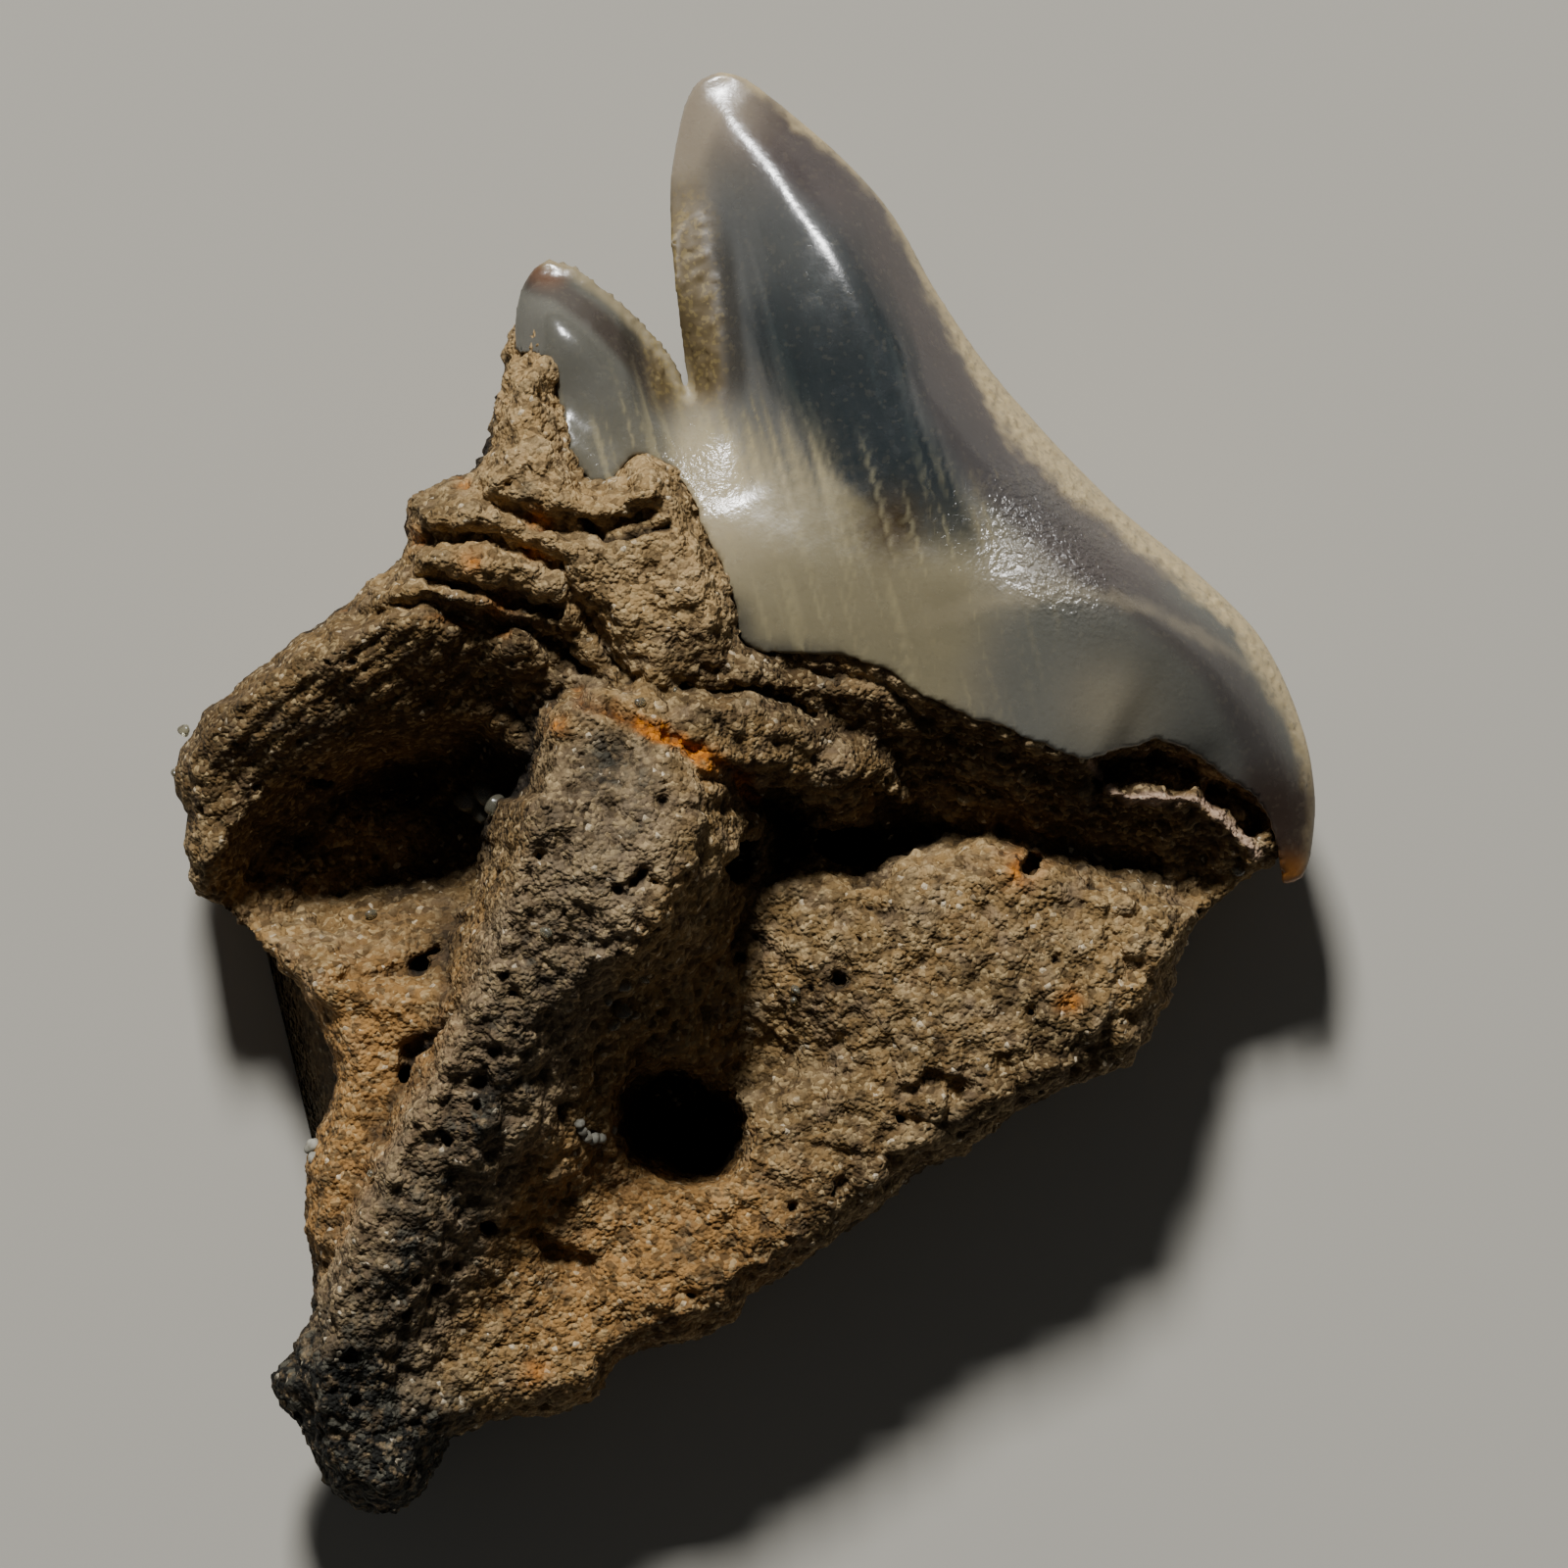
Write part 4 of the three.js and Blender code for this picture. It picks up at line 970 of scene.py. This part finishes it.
crackle = share("crackled", most=summed(speckle(0.07, 0.4, 0.7, most=2.2), share(pick, most=1.1)))
skin = summed(speckle(0.05, 0.3, 0.7, 2.0, 0.08), share(pick, 0.9, 0.97, most=0.02), crackle)
wire(shader, Base_Color=colour, Roughness=dull, IOR=1.63, Normal=bumps(skin, 0.01), Subsurface_Weight=0.15,
     Subsurface_Radius=(1.0, 0.8, 0.6), Subsurface_Scale=0.0002)
crown_enamel.data.materials.append(enameloid)

# %% [markdown]
# ## Sand grains
# A few quartz grains from the bed are stuck in the hollows, a fifth of a millimetre across. Each is an
# icosphere with its points pushed about, and all of them are joined in one mesh.

# %% Grains where the photo shows them
surface = points_and_normals(root_dentine)[0]

def height_at(px, py, reach=0.12):
    near = np.hypot(surface[:, 0] - px, surface[:, 1] - py) < reach
    return np.median(surface[near & (surface[:, 2] > 0.6)][:, 2])

GRAINS = [  # x, y, radius
    (-3.22, -0.18, 0.12), (-3.05, -0.1, 0.13), (-3.1, -0.28, 0.10), (-2.95, -0.22, 0.09), (-1.62, -2.05, 0.075),
    (-1.64, -2.3, 0.08), (-1.78, -2.18, 0.06), (-1.5, -2.35, 0.055), (-1.72, -2.45, 0.06), (-1.42, -1.98, 0.05),
    (-6.12, 0.55, 0.06), (-6.2, 0.12, 0.055), (-4.22, -1.33, 0.05), (-2.4, -1.5, 0.05), (0.12, -2.1, 0.05),
    (0.1, -2.2, 0.04), (-1.46, 0.82, 0.055), (4.62, -0.88, 0.06), (-4.2, -3.95, 0.035), (-1.1, 0.95, 0.03),
]
maker = bmesh.new()
bmesh.ops.create_icosphere(maker, subdivisions=3, radius=1.0)
unit = np.array([v.co[:] for v in maker.verts])
sides = np.array([[v.index for v in f.verts] for f in maker.faces])
maker.free()

def crumbs(name, places, stretch=0.3):
    parts, faces = [], []
    for n, (gx, gy, radius) in enumerate(places):
        turn = np.array(Matrix.Rotation(n * 2.4, 3, Vector((0.3, 0.5 + 0.1 * n, 1)).normalized()))
        shape = unit * (1 + 0.22 * noise(unit + 7.7 * n, 0.9, 0) + 0.08 * noise(unit + 3.1 * n, 0.4, 1))[:, None]
        shape = (shape * [1 + stretch, 1, 1 - 0.5 * stretch]) @ turn.T
        centre = [gx, gy, height_at(gx, gy) + 0.6 * radius]
        faces.append(sides + n * len(unit))
        parts.append(shape * radius + centre)
    return mesh_object(name, np.vstack(parts), np.vstack(faces))

sand_grains = crumbs("sand_grains", GRAINS)
WORM = [
    (-2.08, -3.45, 0.05), (-2.05, -3.52, 0.055), (-2.0, -3.58, 0.055), (-1.93, -3.61, 0.06),
    (-1.86, -3.6, 0.06), (-1.79, -3.57, 0.055), (-1.74, -3.52, 0.05), (-4.8, -3.7, 0.09),
    (-4.78, -3.82, 0.07),
]
pale_crumbs = crumbs("pale_crumbs", WORM, 0.1)

# %% [markdown]
# ## Quartz and lime
# Quartz sand is clear with an IOR of 1.54, and a grain's frosted skin makes it look milky. The pale crumbs are
# lime, which is matt and nearly white.

# %% Frosted quartz and chalky lime
quartz, tree, shader = new_material("frosted_quartz")
wire(shader, Base_Color=linear("#b9b49c"), Roughness=0.25, IOR=1.54, Transmission_Weight=0.85)
sand_grains.data.materials.append(quartz)
lime, tree, shader = new_material("chalky_lime")
colour = stained(linear("#9d9a8c"), ("#6f6a5c", speckle(0.08, 0.4, 0.65), 1.0))
wire(shader, Base_Color=colour, Roughness=0.8)
pale_crumbs.data.materials.append(lime)

for piece, slot in ((crown_enamel, "enameloid"), (root_dentine, "dentine"), (sand_grains, "quartz"),
                    (pale_crumbs, "quartz")):
    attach(piece, "root")
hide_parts("tooth")
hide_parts("tooth")

# %% [markdown]
# ## Floor, light and camera
# A pale matt floor, one soft lamp from beyond the cusp's tip at about 45 degrees, and a weak fill. The low light
# is what shows the relief of the root. The camera looks straight down, and its lens is long, as a macro lens is.

# %% Studio
mesh = bpy.data.meshes.new("floor")
mesh.from_pydata([(-0.3, -0.3, 0), (0.3, -0.3, 0), (0.3, 0.3, 0), (-0.3, 0.3, 0)], [], [(0, 1, 2, 3)])
floor = in_scene("floor", mesh)
paper, tree, shader = new_material("pale_paper")
wire(shader, Base_Color=linear("#b9b5aa"), Roughness=0.9)
floor.data.materials.append(paper)

def lamp(name, place, size, power):
    light = bpy.data.lights.new(name, "AREA")
    light.size = size
    light.energy = power
    obj = in_scene(name, light)
    obj.location = place
    obj.rotation_euler = Vector(place).to_track_quat("Z", "Y").to_euler()

lamp("key", (-0.036, 0.225, 0.195), 0.05, 1.35)
lamp("fill", (0.05, -0.15, 0.25), 0.2, 0.008)
world = bpy.data.worlds.new("studio")
world.use_nodes = True
wire(world.node_tree.nodes["Background"], Color=linear("#c9ccd0"), Strength=0.065)
bpy.context.scene.world = world

# %% Camera
CAMERA_HEIGHT = 0.25
SHARP_HEIGHT = 0.0016  # where a millimetre of the plan is 100 pixels of a picture of 1600
PICTURE_WIDTH = 0.016
SENSOR_MM = 36
lens_data = bpy.data.cameras.new("camera")
lens_data.sensor_fit = "HORIZONTAL"
lens_data.sensor_width = SENSOR_MM
lens_data.lens = SENSOR_MM * (CAMERA_HEIGHT - SHARP_HEIGHT) / PICTURE_WIDTH
lens_data.clip_start = 0.01
camera = in_scene("camera", lens_data)
camera.location = (-MIDDLE[0] * 0.001, -MIDDLE[1] * 0.001, CAMERA_HEIGHT)
bpy.context.scene.camera = camera
